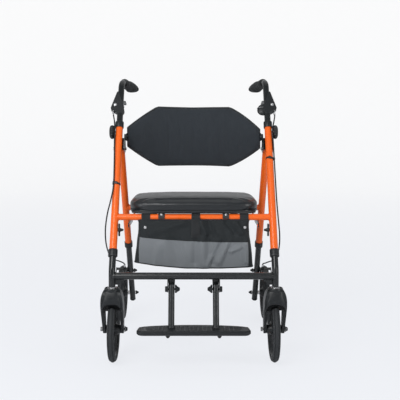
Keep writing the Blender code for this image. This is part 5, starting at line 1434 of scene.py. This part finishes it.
    def build(self) -> None:
        """Makes the panels, the bottom, the bindings, the webbing and the studs."""
        front = (0.5 - self.front_share, 0.5 + self.front_share)
        rear = (1.0 - self.rear_share, 1.0 + self.rear_share)
        top, low = (lambda share: 0.0), (lambda share: 1.0)
        left, right = front[0] + self.border, front[1] - self.border
        for name, shares, levels, finish, stands_for in (
                ("bag_upper_panel", front, (top, self.seam), BAG_BLACK, ("bag",)),
                ("bag_lower_panel", (left, right), (self.seam, low), BAG_GREY, ()),
                ("bag_left_border", (front[0], left), (self.seam, low), BAG_BLACK, ()),
                ("bag_right_border", (right, front[1]), (self.seam, low), BAG_BLACK, ()),
                ("bag_left_end", (self.rear_share, front[0]), (top, low), BAG_BLACK, ()),
                ("bag_right_end", (front[1], rear[0]), (top, low), BAG_BLACK, ()),
                ("bag_rear_panel", rear, (top, low), BAG_GREY, ())):
            self.panel(name, shares, levels, finish, stands_for)
        self.base()
        self.bindings(front)
        for index, x in enumerate(self.front_strap_x):
            self.front_strap(f"bag_front_strap_{index}", x, 0.435 if index == 1 else 0.4585)
        for index, x in enumerate(self.rear_strap_x):
            self.rear_strap(f"bag_rear_strap_{index}", x)
        studs = Shape()
        for x in (self.front_strap_x[0] - 0.002, self.front_strap_x[2] + 0.002):
            studs.bolt((x, self.front_y - 0.0085, 0.4705), (0, -1, 0.1), 0.0036, 0.0024)
        add_piece("bag_studs", studs, STEEL, self.body)

    def seam(self, share: float) -> float:
        """The height share of the seam between the black and the grey panel, which falls to the right."""
        x = (share - 0.5) / self.front_share
        return 0.418 + 0.048 * x + 0.014 * (1.0 - x * x)

    def base(self) -> None:
        """The bottom panel, which sags in its middle."""

        def place(u: float, v: float) -> Vector:
            """A place on the bottom, u round it and v outwards."""
            edge = self.surface(u % 1.0, 1.0)
            centre = Vector((0.0, (self.front_y + self.rear_y) / 2.0, self.bottom - 0.004))
            spot = centre.lerp(edge, v)
            spot.z = edge.z - 0.008 * (1.0 - v * v)
            return spot

        shape = Shape().formed(160, 18, place, fill=False)
        area = sum(face.calc_area() for face in shape.mesh.faces)
        item = add_piece("bag_base", shape, BAG_BLACK, self.body, 60.0, solid=self.cloth)

    def bindings(self, front: tuple[float, float]) -> None:
        """The tape over the seams: down the front panel's ends, round the rim and the base, and across the front.

        Args:
            front: Where the front panel starts and ends round the bag.
        """
        shape = Shape()
        for share in front:
            shape.sweep([self.surface(share, step / 24) for step in range(25)], 0.0021, 12)
        shape.sweep([self.surface(step / 160, 0.0) for step in range(160)], 0.0026, 10, closed=True)
        shape.sweep([self.surface(step / 160, 1.0) for step in range(160)], 0.0024, 10, closed=True)
        shares = [front[0] + (front[1] - front[0]) * step / 48 for step in range(49)]
        seam = [self.surface(share, self.seam(share)) + Vector((0.0, -0.0006, 0.0)) for share in shares]
        shape.sweep(seam, 0.0011, 8)
        add_piece("bag_bindings", shape, WEBBING, self.body)

    def tape(self, name: str, x: float, line: Outline, body: str | None) -> bpy.types.Object:
        """A strip of webbing across the (y, z) points of a line.

        Args:
            name: The piece's name.
            x: Its distance from the middle.
            line: The points.
            body: The body that it rides on, or None.

        Returns:
            The object.
        """
        path = curved([Vector((x, y, z)) for y, z in line], 0.0025)
        last = len(path) - 1

        def place(u: float, v: float) -> Vector:
            """A place on the strip, u across it and v along it."""
            return path[round(v * last)] + X_AXIS * (u - 0.5) * 2.0 * self.strap_half

        return add_piece(name, Shape().formed(6, last, place, fill=False), WEBBING, body, 60.0, solid=0.0016)

    def front_strap(self, name: str, x: float, low: float) -> None:
        """Webbing from inside the bag over the front bar and down the front panel to low.

        Args:
            name: The piece's name.
            x: Its distance from the middle.
            low: The height of its lower end.
        """
        bar = PLAN.front_bar
        radius = PLAN.bar_radius + 0.0012
        line = [(bar.y + radius, 0.474), (bar.y + radius, 0.492)]
        line += [(bar.y + radius * cos(radians(a)), bar.z + radius * sin(radians(a)))
                 for a in range(0, 181, 22)]
        line += [(bar.y - radius - 0.0002, 0.494)]
        for step in range(1, 6):
            z = 0.494 + (low - 0.494) * step / 5
            v = (self.front_top - z) / (self.front_top - self.bottom)
            line.append((self.surface(0.5 + x / (2 * self.top_half) * 0.37, v).y - 0.0024, z))
        self.tape(name, x, line, self.body)

    def rear_strap(self, name: str, x: float) -> None:
        """Webbing from the rear rim of the bag to the rear bar.

        Args:
            name: The piece's name.
            x: Its distance from the middle.
        """
        bar = PLAN.rear_bar
        radius = PLAN.bar_radius + 0.0012
        line = [(self.rear_y + 0.0015, 0.41), (self.rear_y + 0.0015, 0.434)]
        line += [(bar.y - radius * 0.98, bar.z - 0.01)]
        line += [(bar.y - radius * cos(radians(a)), bar.z + radius * sin(radians(a)))
                 for a in range(15, 181, 22)]
        line += [(bar.y + radius * 0.6, bar.z - 0.012), (bar.y - 0.006, bar.z - 0.022)]
        item = self.tape(name, x, line, None)
        self.rear_y
        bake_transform(item)


@dataclass
class Handle:
    """One handle: its post, grip, brake housing, lever and height knob."""

    label: str
    side: float
    corner_z: float = 1.0035
    bend: float = 0.042
    length: float = 0.165
    toe_in: float = radians(8.0)
    droop: float = 0.085
    grip_length: float = 0.122
    grip_radius: float = 0.0175
    knob_at: float = 0.543
    knob_ribs: int = 14
    ribbed: tuple[float, float] = (0.16, 0.74)
    rib_count: float = 26.0
    rib_height: float = 0.0006
    finger_pitch: float = 0.19
    finger_depth: float = 0.0012
    palm_drop: float = 0.0095

    @property
    def body(self) -> str:
        """The body that the handle moves with."""
        return "handle_" + self.label

    @property
    def corner(self) -> Matrix:
        """The place of the handle's corner, with its v axis along the grip."""
        place = PLAN.front((self.corner_z - PLAN.bend_z) / PLAN.up.z, 0.0, self.side * PLAN.leg_x)
        return Matrix.Translation(place) @ Matrix.Rotation(self.side * self.toe_in, 4, "Z")

    def build(self) -> None:
        """Makes every piece of the handle."""
        label = self.label
        x = self.side * PLAN.leg_x
        matrix = self.corner
        end = matrix @ Vector((0.0, self.length, -self.droop * self.length))
        line = rounded((PLAN.front(0.423, 0.0, x), matrix.translation, end), self.bend, 16)
        add_piece("handle_post_finished_" + label, Shape().sweep(line, PLAN.inner_radius, 40), BLACK_PAINT, self.body,
                  stands_for=("handle_post_" + label,))
        add_piece("grip_finished_" + label, Shape().formed(64, 120, self.grip_point), GRIP, self.body, 60.0,
                  stands_for=("grip_" + label,))
        dress_node("brake_housing_" + label, PLASTIC, self.body, 0.0012, 3)
        dress_node("brake_lever_" + label, PLASTIC, "lever_" + label, 0.0016, 3)
        self.fittings()
        if self.side > 0:
            self.thumb_cover()
        self.height_knob()
        self.wing_screw()

    def grip_point(self, u: float, v: float) -> Vector:
        """A point on the grip: u runs round it and v from its front ring to its palm end.

        Args:
            u: The share of the way round it.
            v: The share of the way along it.

        Returns:
            The point.
        """
        table = ((0.00, 1.00, 1.00, 0.95), (0.04, 1.14, 1.14, 1.1), (0.08, 1.14, 1.14, 1.1), (0.12, 0.98, 0.98, 0.98),
                 (0.25, 1.03, 1.05, 1.04), (0.4, 1.00, 1.06, 1.02), (0.62, 1.06, 1.22, 1.14), (0.8, 1.12, 1.68, 1.3),
                 (0.92, 1.08, 1.98, 1.24), (0.98, 0.95, 1.8, 1.08), (1.01, 0.75, 1.42, 0.84), (1.03, 0.45, 0.8, 0.45))
        share = v * table[-1][0]
        index = max(k for k in range(len(table) - 1) if table[k][0] <= share + 1e-9)
        start, stop = table[index], table[index + 1]
        t = (share - start[0]) / (stop[0] - start[0])
        t = t * t * (3.0 - 2.0 * t)
        out, inward, up = (start[k] + (stop[k] - start[k]) * t for k in (1, 2, 3))
        turn = tau * u
        across, rise = cos(turn), sin(turn)
        rib = grooves = 0.0
        if self.ribbed[0] < share < self.ribbed[1]:
            rib = self.rib_height * sin(tau * share * self.rib_count)
            finger = cos(tau * (share - self.ribbed[0]) / self.finger_pitch)
            grooves = self.finger_depth * finger * max(0.0, -rise)
        reach = self.grip_radius * (inward if across < 0 else out) + rib
        along = self.length - self.grip_length + share * self.grip_length
        palm = max(0.0, inward - 1.06) * max(0.0, -across) ** 1.5
        height = self.grip_radius * up * (1.0 - 0.18 * palm) + rib + grooves
        lift = rise * height - self.droop * along - self.palm_drop * palm
        return self.corner @ Vector((across * reach * self.side, along, lift))

    def wing_screw(self) -> None:
        """The two-lobed screw that clamps the lower leg in the orange one."""
        side, centre = self.side, PLAN.front(0.15005)
        matrix = pointed((side * (PLAN.leg_x - PLAN.leg_radius - 0.0008), centre.y, centre.z), (-side, 0, 0))
        hub = ((0.0, -0.001), (0.0052, -0.001), (0.0075, 0.001), (0.0078, 0.006), (0.0062, 0.0095),
               (0.0046, 0.014), (0.0038, 0.0185), (0.0, 0.0195))
        shape = Shape().turned(hub, matrix, 32)
        flat = placed(matrix @ Vector((0.0, 0.0, 0.004)), (0, 0, 1), (0, 1, 0))
        for turn in (1.0, -1.0):
            lobe = hull(((turn * 0.004, 0.0, 0.0045), (turn * 0.0165, 0.0, 0.0062)), 20)
            shape.prism(lobe, flat, 0.0062, 0.0022)
        add_piece("wing_screw_finished_" + self.label, shape, PLASTIC, "wing_screw_body_" + self.label,
                  stands_for=("wing_screw_" + self.label,))

    def thumb_cover(self) -> None:
        """The rounded cover on the inner side of the right post, under the grip."""
        centre = PLAN.front(0.6427, 0.002, self.side * (PLAN.leg_x - 0.0105))

        def place(u: float, v: float) -> Vector:
            """A place on the cover, u round it and v along it."""
            turn, rise = tau * u, pi * (v - 0.5)
            ring = cos(rise) ** 0.9
            out = 0.0275 * ring * max(0.0, cos(turn)) + 0.002 * ring * min(0.0, cos(turn))
            along = 0.0255 * sin(rise) - 0.004 * cos(turn) * ring
            return centre - X_AXIS * self.side * out + PLAN.up * along + PLAN.back * 0.0105 * ring * sin(turn)

        add_piece("thumb_cover_" + self.label, Shape().formed(64, 40, place), PLASTIC, self.body, 50.0)
        middle = centre + PLAN.up * 0.0052
        turns = [pi * (step / 24 - 0.5) for step in range(25)]
        band = [middle - X_AXIS * self.side * 0.0268 * cos(turn) + PLAN.back * 0.0104 * sin(turn)
                for turn in turns]
        add_piece("thumb_cover_band_" + self.label, Shape().sweep(band, 0.001, 8), DARK_STEEL, self.body)

    def fittings(self) -> None:
        """The cable's adjuster and the screws of the brake housing."""
        side = self.side
        shape = Shape()
        start = PLAN.front(0.635, 0.0, side * 0.3102)
        aim = PLAN.front(0.613, -0.004, side * 0.3085) - start
        barrel = ((0.0, -0.004), (0.0046, -0.004), (0.0046, 0.004), (0.004, 0.005), (0.004, 0.006), (0.0046, 0.007),
                  (0.0046, 0.011), (0.0033, 0.0125), (0.0033, 0.018), (0.0026, 0.019), (0.0, 0.019))
        shape.turned(barrel, pointed(start, aim), 24)
        shape.bolt(PLAN.front(0.656, -0.0131, side * 0.302), -PLAN.back, 0.0046, 0.003)
        pivot = PLAN.front(0.668, 0.0265, side * PLAN.leg_x)
        for turn in (-1.0, 1.0):
            shape.bolt(pivot + X_AXIS * turn * 0.0098, (turn, 0, 0), 0.004, 0.0024)
        shape.sweep((pivot - X_AXIS * 0.01, pivot + X_AXIS * 0.01), 0.0029, 16)
        add_piece("brake_fittings_" + self.label, shape, STEEL, self.body)

    def height_knob(self) -> None:
        """The ribbed knob that clamps the post, with its steel screw."""
        profile = ((0.004, 0.0), (0.02, 0.0), (0.0228, 0.001), (0.0252, 0.0034), (0.0266, 0.0064),
                   (0.0268, 0.0088), (0.0258, 0.0118), (0.0236, 0.0146), (0.0205, 0.0166), (0.017, 0.0177),
                   (0.015, 0.0172), (0.0, 0.018))
        place = PLAN.front(self.knob_at, 0.0, 0.0)
        face = self.side * (PLAN.leg_x + PLAN.leg_radius + 0.0045)
        matrix = pointed((face, place.y, place.z), (self.side, 0, 0))
        last = len(profile) - 1

        def lobe(u: float, v: float) -> Vector:
            """A place on the knob, u round it and v along its profile."""
            radius, height = profile[round(v * last)]
            turn = tau * u
            depth = 0.0024 * min(1.0, max(0.0, (radius - 0.0165) / 0.005))
            radius -= depth * (0.5 - 0.5 * cos(self.knob_ribs * turn)) ** 1.6
            return matrix @ polar(turn, radius, height)

        shape = Shape().formed(self.knob_ribs * 10, last, lobe)
        body = "height_knob_body_" + self.label
        add_piece("height_knob_finished_" + self.label, shape, PLASTIC, body, 34.0,
                  stands_for=("height_knob_" + self.label,))
        start = self.side * (PLAN.leg_x + PLAN.inner_radius + 0.0004)
        screw = Shape().sweep(((start, place.y, place.z), (face + self.side * 0.002, place.y, place.z)), 0.004, 20)
        add_piece("height_knob_screw_" + self.label, screw, STEEL, body)


@dataclass
class Wheel:
    """One wheel: a grooved tyre on a five-spoke rim."""

    prefix: str
    label: str
    centre: Vector
    body: str
    hub_width: float
    seat_radius: float = 0.092
    rim_half: float = 0.0095
    hub_radius: float = 0.019
    spokes: int = 5
    blocks: int = 44

    def build(self) -> None:
        """Makes the tyre, the rim and the bearings."""
        matrix = pointed(self.centre, X_AXIS)
        self.tyre(matrix)
        self.rim(matrix)

    def tyre(self, matrix: Matrix) -> None:
        """The tyre: round shoulders, two grooves round the tread and short cuts across its edges.

        Args:
            matrix: The wheel's place, with its axle along z.
        """
        half = ((0.0923, 0.0086), (0.094, 0.0106), (0.0975, 0.0121), (0.102, 0.0128), (0.1058, 0.0122),
                (0.1088, 0.0104), (0.1106, 0.0082), (0.1092, 0.0074), (0.1092, 0.006), (0.1122, 0.0052),
                (0.1134, 0.0032), (0.114, 0.0012))
        profile = [(radius, -width) for radius, width in half] + [(radius, width) for radius, width in reversed(half)]
        last = len(profile) - 1

        def tread(u: float, v: float) -> Vector:
            """A place on the tyre, u round it and v across it."""
            radius, width = profile[round(v * last)]
            turn = tau * u
            if 0.1057 < radius < 0.111 and abs(width) > 0.0078 and (u * self.blocks) % 1.0 < 0.21:
                radius -= 0.0014
                width *= 0.965
            return matrix @ polar(turn, radius, width)

        shape = Shape().formed(self.blocks * 5, last, tread, fill=False)
        name = f"{self.prefix}_tyre_{self.label}"
        add_piece(f"{self.prefix}_tyre_finished_{self.label}", shape, TYRE, self.body, 30.0, stands_for=(name,))

    def rim(self, matrix: Matrix) -> None:
        """The moulded rim: a barrel, a hub and ribbed spokes, with a steel bearing on each side.

        Args:
            matrix: The wheel's place, with its axle along z.
        """
        shape = Shape()
        seat, half, inner = self.seat_radius, self.rim_half, self.seat_radius - 0.005
        barrel = ((inner - 0.0015, -0.004), (inner, -half + 0.004), (inner + 0.002, -half), (seat, -half),
                  (seat, half), (inner + 0.002, half), (inner, half - 0.004), (inner - 0.0015, 0.004),
                  (inner - 0.0015, -0.004))
        shape.turned(barrel, matrix, 120)
        width = self.hub_width / 2.0
        hub = ((0.0044, -width), (self.hub_radius - 0.006, -width), (self.hub_radius - 0.004, -width + 0.002),
               (self.hub_radius, -0.0075), (self.hub_radius, 0.0075), (self.hub_radius - 0.004, width - 0.002),
               (self.hub_radius - 0.006, width), (0.0044, width), (0.0044, -width))
        shape.turned(hub, matrix, 64)
        arm = ((0.012, -0.0098), (0.03, -0.008), (0.06, -0.0076), (0.08, -0.0102), (0.0885, -0.015),
               (0.0885, 0.015), (0.08, 0.0102), (0.06, 0.0076), (0.03, 0.008), (0.012, 0.0098))
        rib = ((0.014, -0.0024), (0.084, -0.0018), (0.084, 0.0018), (0.014, 0.0024))
        for index in range(self.spokes):
            spin = matrix @ Matrix.Rotation(tau * index / self.spokes, 4, "Z")
            shape.prism(arm, spin, 0.009, 0.0022)
            shape.prism(rib, spin, 0.015, 0.001)
        name = f"{self.prefix}_rim_{self.label}"
        add_piece(f"{self.prefix}_rim_finished_{self.label}", shape, PLASTIC, self.body, 32.0, stands_for=(name,))
        race = ((0.0046, width - 0.003), (0.0046, width + 0.00015), (0.006, width + 0.00015), (0.0064, width - 0.0005),
                (0.0094, width - 0.0005), (0.0098, width + 0.00015), (0.0115, width + 0.00015), (0.0115, width - 0.003))
        bearing = Shape().turned(race, matrix, 40)
        bearing.turned([(radius, -height) for radius, height in race], matrix, 40)
        add_piece(f"{self.prefix}_bearings_{self.label}", bearing, STEEL, self.body, 30.0)


@dataclass
class Caster:
    """One caster: fork, crown cup, hood, axle and wheel."""

    label: str
    side: float
    axle_y: float = -0.267
    crown_z: float = 0.268
    fork_half: float = 0.039
    hub_width: float = 0.0532
    nut_x: float = 0.0085
    nut_ahead: float = 0.0195
    hood_low: float = 0.2185
    hood_arch: float = 0.03
    hood_top: float = 0.2625
    hood_half: float = 0.0245
    hood_flare: float = 0.012
    hood_face: float = -0.3265
    hood_bulge: float = 0.0165
    hood_wall: float = 0.0048

    def build(self) -> None:
        """Makes every piece of the caster."""
        label, x = self.label, self.side * PLAN.leg_x
        body = "caster_" + label
        dress_node("caster_fork_" + label, PLASTIC, body, 0.0024, 4, 42.0)
        cup = ((0.0172, -0.002), (0.024, -0.0092), (0.0256, -0.0085), (0.0262, -0.006), (0.0264, 0.0006),
               (0.0258, 0.0026), (0.0246, 0.0036), (0.023, 0.0032), (0.022, 0.0014), (0.019, 0.0006),
               (0.0172, 0.0008), (0.0172, -0.002))
        crown = Shape().turned(cup, Matrix.Translation((x, PLAN.stem_y, self.crown_z)), 64)
        add_piece("caster_crown_cup_" + label, crown, PLASTIC, body, 40.0)
        self.hood(x, body)
        dress_node("caster_axle_" + label, DARK_STEEL, body, 0.0004)
        face = x + self.fork_half
        cap = ((0.0, 0.0), (0.0105, 0.0), (0.0108, 0.0016), (0.0078, 0.003), (0.0072, 0.0074), (0.005, 0.01),
               (0.0, 0.0106))
        nut = Shape().turned(cap, pointed((face + 0.0002, self.axle_y, PLAN.wheel_radius), (1, 0, 0)), 28)
        add_piece("caster_axle_cap_" + label, nut, PLASTIC, body, 30.0)
        centre = Vector((x, self.axle_y, PLAN.wheel_radius))
        nuts = Shape()
        for aside in (-self.nut_x, self.nut_x):
            nuts.nut((x + aside, PLAN.stem_y - self.nut_ahead, self.crown_z + 0.001), Z_AXIS, 0.0042, 0.0052)
        add_piece("caster_crown_nuts_" + label, nuts, DARK_STEEL, body)
        Wheel("front", label, centre, "front_wheel_" + label, self.hub_width).build()

    def hood(self, x: float, body: str) -> None:
        """The rounded shield over the front of the tyre, which makes the fork's arch.

        Args:
            x: The fork's distance from the middle.
            body: The body that it rides on.
        """

        def place(u: float, v: float) -> Vector:
            """A place on the shield, u round its section and v upwards."""
            side, sheet = (u * 2.0, 0.0) if u <= 0.5 else ((1.0 - u) * 2.0, 1.0)
            reach = side * 2.0 - 1.0
            low = self.hood_low - self.hood_arch * abs(reach) ** 4
            z = low + (self.hood_top - low) * v
            half = self.hood_half + self.hood_flare * cos(v * pi / 2.0) ** 0.6
            bulge = sqrt(max(0.0, 1.0 - abs(reach) ** 2.6))
            swell = 0.55 + 0.45 * sin(pi * min(1.0, 0.25 + v * 0.75))
            face = self.hood_face - self.hood_bulge * bulge * swell
            across = half * reach * (1.0 - 0.06 * sheet)
            return Vector((x + across, face + self.hood_wall * sheet * bulge ** 0.5, z - 0.0006 * sheet))

        shape = Shape().formed(96, 20, place)
        add_piece("caster_hood_" + self.label, shape, PLASTIC, body, 60.0)


@dataclass
class Brake:
    """One brake: the cable on its route, the shoe and its spring."""

    label: str
    side: float
    radius: float = 0.0025
    on_leg: Sequence[Point] = ()
    in_air: Sequence[Point] = ()
    held_from: int = 6
    stop_x: float = 0.29
    stop_ahead: float = 0.005
    stop_above: float = 0.1474
    spring_x: float = 0.2915
    spring_radius: float = 0.006
    spring_pitch: float = 0.0011
    pin_ahead: float = 0.026
    pin_above: float = 0.1275

    def build(self) -> None:
        """Makes the two runs of the cable, the shoe and the spring."""
        label, side = self.label, self.side
        leg = [PLAN.front(along, offset, side * x) for x, along, offset in self.on_leg]
        air = [Vector((side * x, y, z)) for x, y, z in self.in_air]
        stop = Vector((side * self.stop_x, PLAN.axle_y, PLAN.wheel_radius)) + PLAN.forward * self.stop_ahead
        tail = [stop - PLAN.down * (self.stop_above + above) for above in (0.014, 0.0)]
        middle = leg[self.held_from]
        upper = curved(leg[:self.held_from + 1], 0.01)
        lower = curved([middle, *leg[self.held_from + 1:], *air, *tail], 0.01)
        self.run("brake_cable_upper_" + label, upper, ("handle_" + label, "front_frame"), leg[1], leg[5],
                 ("brake_cable_" + label,))
        self.run("brake_cable_lower_" + label, lower, ("front_frame", "rear_frame"), air[1], tail[0], ())
        dress_node("brake_shoe_" + label, PLASTIC, "shoe_" + label, 0.0007)
        ferrule = Shape().turned(((0.0, -0.002), (0.004, -0.002), (0.004, 0.009), (0.003, 0.0105), (0.0, 0.0105)),
                                 pointed(tail[1], -PLAN.down), 20)
        add_piece("cable_ferrule_" + label, ferrule, STEEL, "rear_frame", 30.0)
        self.spring()

    def run(self, name: str, path: list[Vector], bodies: tuple[str, str], start: Vector, end: Vector,
            stands_for: Sequence[str]) -> None:
        """One run of the cable.

        Args:
            name: The piece's name.
            path: Its centre line.
            bodies: Not used.
            start: Not used.
            end: Not used.
            stands_for: The frame nodes that it replaces.
        """
        item = add_piece(name, Shape().sweep(path, self.radius, 14), PLASTIC, None, stands_for=stands_for)
        tuple(start)
        tuple(end)
        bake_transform(item)

    def spring(self) -> None:
        """The wire spring round the shoe's pin that lifts the shoe off the tyre."""
        axle = Vector((self.side * self.spring_x, PLAN.axle_y, PLAN.wheel_radius))
        pin = axle + PLAN.forward * self.pin_ahead - PLAN.down * self.pin_above
        path = []
        for step in range(61):
            turns = step / 15
            coil = polar(tau * turns, self.spring_radius, 0.0)
            path.append(pin + Vector((self.side * self.spring_pitch * turns, coil.x, coil.y)))
        add_piece("brake_spring_" + self.label, Shape().sweep(path, 0.0006, 8), DARK_STEEL, "rear_frame")


@dataclass
class Footrest:
    """The swing-up footrest: tubes, ribbed plate and star knobs."""

    body: str = "footrest"
    tube_x: float = 0.0765
    tube_radius: float = 0.0108
    front_y: float = -0.407
    depth: float = 0.086
    top_z: float = 0.145
    thickness: float = 0.016
    pivot: tuple[float, float] = (-0.324, 0.269)
    rib_pitch: float = 0.015
    rib_count: int = 19
    rib_gap: float = 0.016
    hub_reach: float = 0.0145

    def build(self) -> None:
        """Makes every piece of the footrest."""
        low = self.top_z - self.thickness
        for label, side in SIDES:
            x = side * self.tube_x
            start = Vector((x, *self.pivot))
            end = Vector((x, self.front_y + self.depth * 0.52, low - 0.004))
            top = start + (start - end).normalized() * self.hub_reach
            shape = Shape().sweep((top, end), self.tube_radius, 40)
            add_piece("footrest_tube_finished_" + label, shape, BLACK_PAINT, self.body,
                      stands_for=("footrest_tube_" + label,))
            sleeve = ((0.011, 0.0), (0.0128, 0.0004), (0.0128, 0.0075), (0.0118, 0.009), (0.011, 0.009))
            foot = end + (start - end).normalized() * (self.thickness + 0.002)
            collar = Shape().turned(sleeve, pointed(foot, start - end), 36)
            add_piece("footrest_sleeve_" + label, collar, PLASTIC, self.body, 30.0)
            dress_node("footrest_knob_" + label, PLASTIC, "footrest_knob_body_" + label, 0.0009)
        dress_node("footplate", PLASTIC, self.body, 0.0008, 2, 32.0)
        ribs = Shape()
        outline = ((-0.0018, 0.0), (-0.001, 0.0016), (0.001, 0.0016), (0.0018, 0.0))
        for index in range(self.rib_count):
            x = (index - (self.rib_count - 1) / 2.0) * self.rib_pitch
            if abs(abs(x) - self.tube_x) < self.rib_gap:
                continue
            back = self.front_y + self.depth - 0.014 - 0.02 * (abs(x) / 0.19) ** 2
            front = self.front_y + 0.008
            matrix = placed((x, (front + back) / 2.0, self.top_z - 0.0002), (1, 0, 0), (0, 0, 1))
            ribs.prism(outline, matrix, back - front)
        add_piece("footplate_ribs", ribs, PLASTIC, self.body, 30.0)


@dataclass
class Studio:
    """The pale floor and backdrop, the soft light and the camera at the photograph's angle."""

    camera_place: tuple[float, float, float] = (0.0, -2.806, 0.838)
    pitch: float = radians(1.905)
    lens: float = 65.2
    shift: tuple[float, float] = (0.0158, -0.1295)
    floor_radius: float = 6.5
    curve_radius: float = 2.5
    paper_run: float = 15.0

    def build(self) -> None:
        """Makes the stage, the lamps and the camera."""
        self.camera()
        self.backdrop()
        self.lamps()
        scene = bpy.context.scene
        scene.view_settings.view_transform = "Standard"
        world = bpy.data.worlds.new("soft_room")
        world.use_nodes = True
        room = world.node_tree.nodes["Background"]
        room.inputs["Color"].default_value = (0.95, 0.97, 1.0, 1.0)
        room.inputs["Strength"].default_value = 0.36
        scene.world = world

    def camera(self) -> None:
        """The camera, in front of the middle and pitched down a little, with its lens shifted."""
        data = bpy.data.cameras.new("camera")
        data.lens = self.lens
        data.sensor_width = 36.0
        data.shift_x, data.shift_y = self.shift
        item = shown("camera", data)
        item.location = self.camera_place
        item.rotation_euler = (pi / 2.0 - self.pitch, 0.0, 0.0)
        bpy.context.scene.camera = item

    def backdrop(self) -> None:
        """A round floor that runs up into a low wall on all sides."""
        flat, curve = self.floor_radius, self.curve_radius

        def bowl(u: float, v: float) -> Vector:
            """A place on the paper, u round it and v outwards."""
            reach, rise = v * self.paper_run, 0.0
            if reach > flat:
                past = reach - flat
                turn = min(past / curve, pi / 2.0)
                reach = flat + curve * sin(turn)
                rise = curve - curve * cos(turn) + max(0.0, past - curve * pi / 2.0)
            return polar(tau * u, reach, rise)

        mesh = Shape().formed(64, 100, bowl, fill=False).finished("floor_and_wall")
        mesh.shade_smooth()
        mesh.materials.append(self.paper())
        item = shown("floor_and_wall", mesh)

    @staticmethod
    def paper() -> bpy.types.Material:
        """The backdrop's matt paper, paler far out, and lifted where the camera or a glossy surface sees it.

        Returns:
            The material.
        """
        wiring = Wiring("backdrop_paper")
        reach = wiring.add("ShaderNodeVectorMath")
        reach.operation = "LENGTH"
        wiring.put(reach, {0: wiring.add("ShaderNodeTexCoord").outputs["Object"]})
        span = wiring.add("ShaderNodeMapRange", {"Value": reach.outputs["Value"], "From Min": 0.0, "From Max": 10.5})
        tone = wiring.mixed(span.outputs["Result"], (0.815, 0.832, 0.87, 1.0), (0.99, 0.99, 0.99, 1.0))
        wiring.put(wiring.shader, {"Base Color": tone, "Roughness": 1.0, "Specular IOR Level": 0.0})
        glow = wiring.add("ShaderNodeEmission", {"Color": tone, "Strength": 1.085})
        ray = wiring.add("ShaderNodeLightPath")
        mirrored = wiring.combine("MULTIPLY", ray.outputs["Is Glossy Ray"], 0.32)
        share = wiring.combine("MULTIPLY_ADD", ray.outputs["Is Camera Ray"], 0.86, mirrored)
        both = wiring.add("ShaderNodeMixShader", {0: share, 1: wiring.shader.outputs["BSDF"],
                                                  2: glow.outputs["Emission"]})
        wiring.put(wiring.tree.nodes["Material Output"], {"Surface": both.outputs["Shader"]})
        return wiring.material

    @staticmethod
    def lamps() -> None:
        """A wide soft lamp over the camera, tall ones at both sides of it and one overhead."""
        lamps = (("key", (-1.2, -2.7, 2.6), (1.8, 1.4), 60.0), ("left", (-2.0, -2.0, 0.9), (0.35, 1.7), 14.0),
                 ("right", (2.2, -1.8, 0.9), (0.35, 1.7), 14.0), ("top", (0.2, 0.7, 3.4), (3.2, 3.2), 16.0))
        for name, place, size, power in lamps:
            data = bpy.data.lights.new("lamp_" + name, "AREA")
            data.shape = "RECTANGLE"
            data.size, data.size_y = size
            data.energy = power
            item = shown("lamp_" + name, data)
            item.location = place
            item.rotation_mode = "QUATERNION"
            item.rotation_quaternion = (Vector(place) - Vector((0.0, -0.05, 0.5))).to_track_quat("Z", "Y")


# The cables' runs beside the front leg, as (x outwards, distance up the leg from its bend, distance behind it).
LEFT_ON_LEG = ((0.31, 0.633, 0.0), (0.3075, 0.613, -0.004), (0.302, 0.585, -0.012), (0.2982, 0.545, -0.0132),
               (0.2975, 0.5, -0.0138), (0.2945, 0.43, -0.0145), (0.2918, 0.345, -0.015), (0.293, 0.3, -0.0155),
               (0.2995, 0.255, -0.015))
RIGHT_ON_LEG = ((0.31, 0.633, 0.0), (0.311, 0.613, -0.004), (0.306, 0.585, -0.0125), (0.2982, 0.545, -0.0132),
                (0.2985, 0.5, -0.012), (0.2995, 0.43, -0.0065), (0.3, 0.345, -0.005), (0.3005, 0.255, -0.005))
# The cables' free runs, as (x, y, z), with x outwards.
LEFT_IN_AIR = ((0.31, -0.215, 0.515), (0.316, -0.222, 0.465), (0.3165, -0.212, 0.42),
               (0.3155, -0.17, 0.38), (0.316, -0.09, 0.343), (0.3185, 0.03, 0.307),
               (0.317, 0.13, 0.284), (0.305, 0.185, 0.268))
RIGHT_IN_AIR = ((0.304, -0.22, 0.49), (0.3075, -0.225, 0.445), (0.309, -0.208, 0.405),
                (0.311, -0.155, 0.368), (0.314, -0.06, 0.33), (0.314, 0.05, 0.298),
                (0.306, 0.14, 0.275), (0.297, 0.19, 0.26))


def main() -> None:
    """Builds the studio and every sub-assembly."""
    logging.basicConfig(level=logging.INFO, format="%(message)s")
    Studio().build()
    Brake("left", -1.0, on_leg=LEFT_ON_LEG, in_air=LEFT_IN_AIR).build()
    Brake("right", 1.0, on_leg=RIGHT_ON_LEG, in_air=RIGHT_IN_AIR, held_from=5).build()
    FrontFrame().build()
    RearFrame().build()
    Braces().build()
    Seat().build()
    Backrest().build()
    Bag().build()
    Footrest().build()
    for label, side in SIDES:
        Handle(label, side).build()
        Caster(label, side).build()
        centre = Vector((side * PLAN.rear_wheel_x, PLAN.axle_y, PLAN.wheel_radius))
        Wheel("rear", label, centre, "rear_wheel_" + label, 0.044).build()


if __name__ == "__main__":
    main()
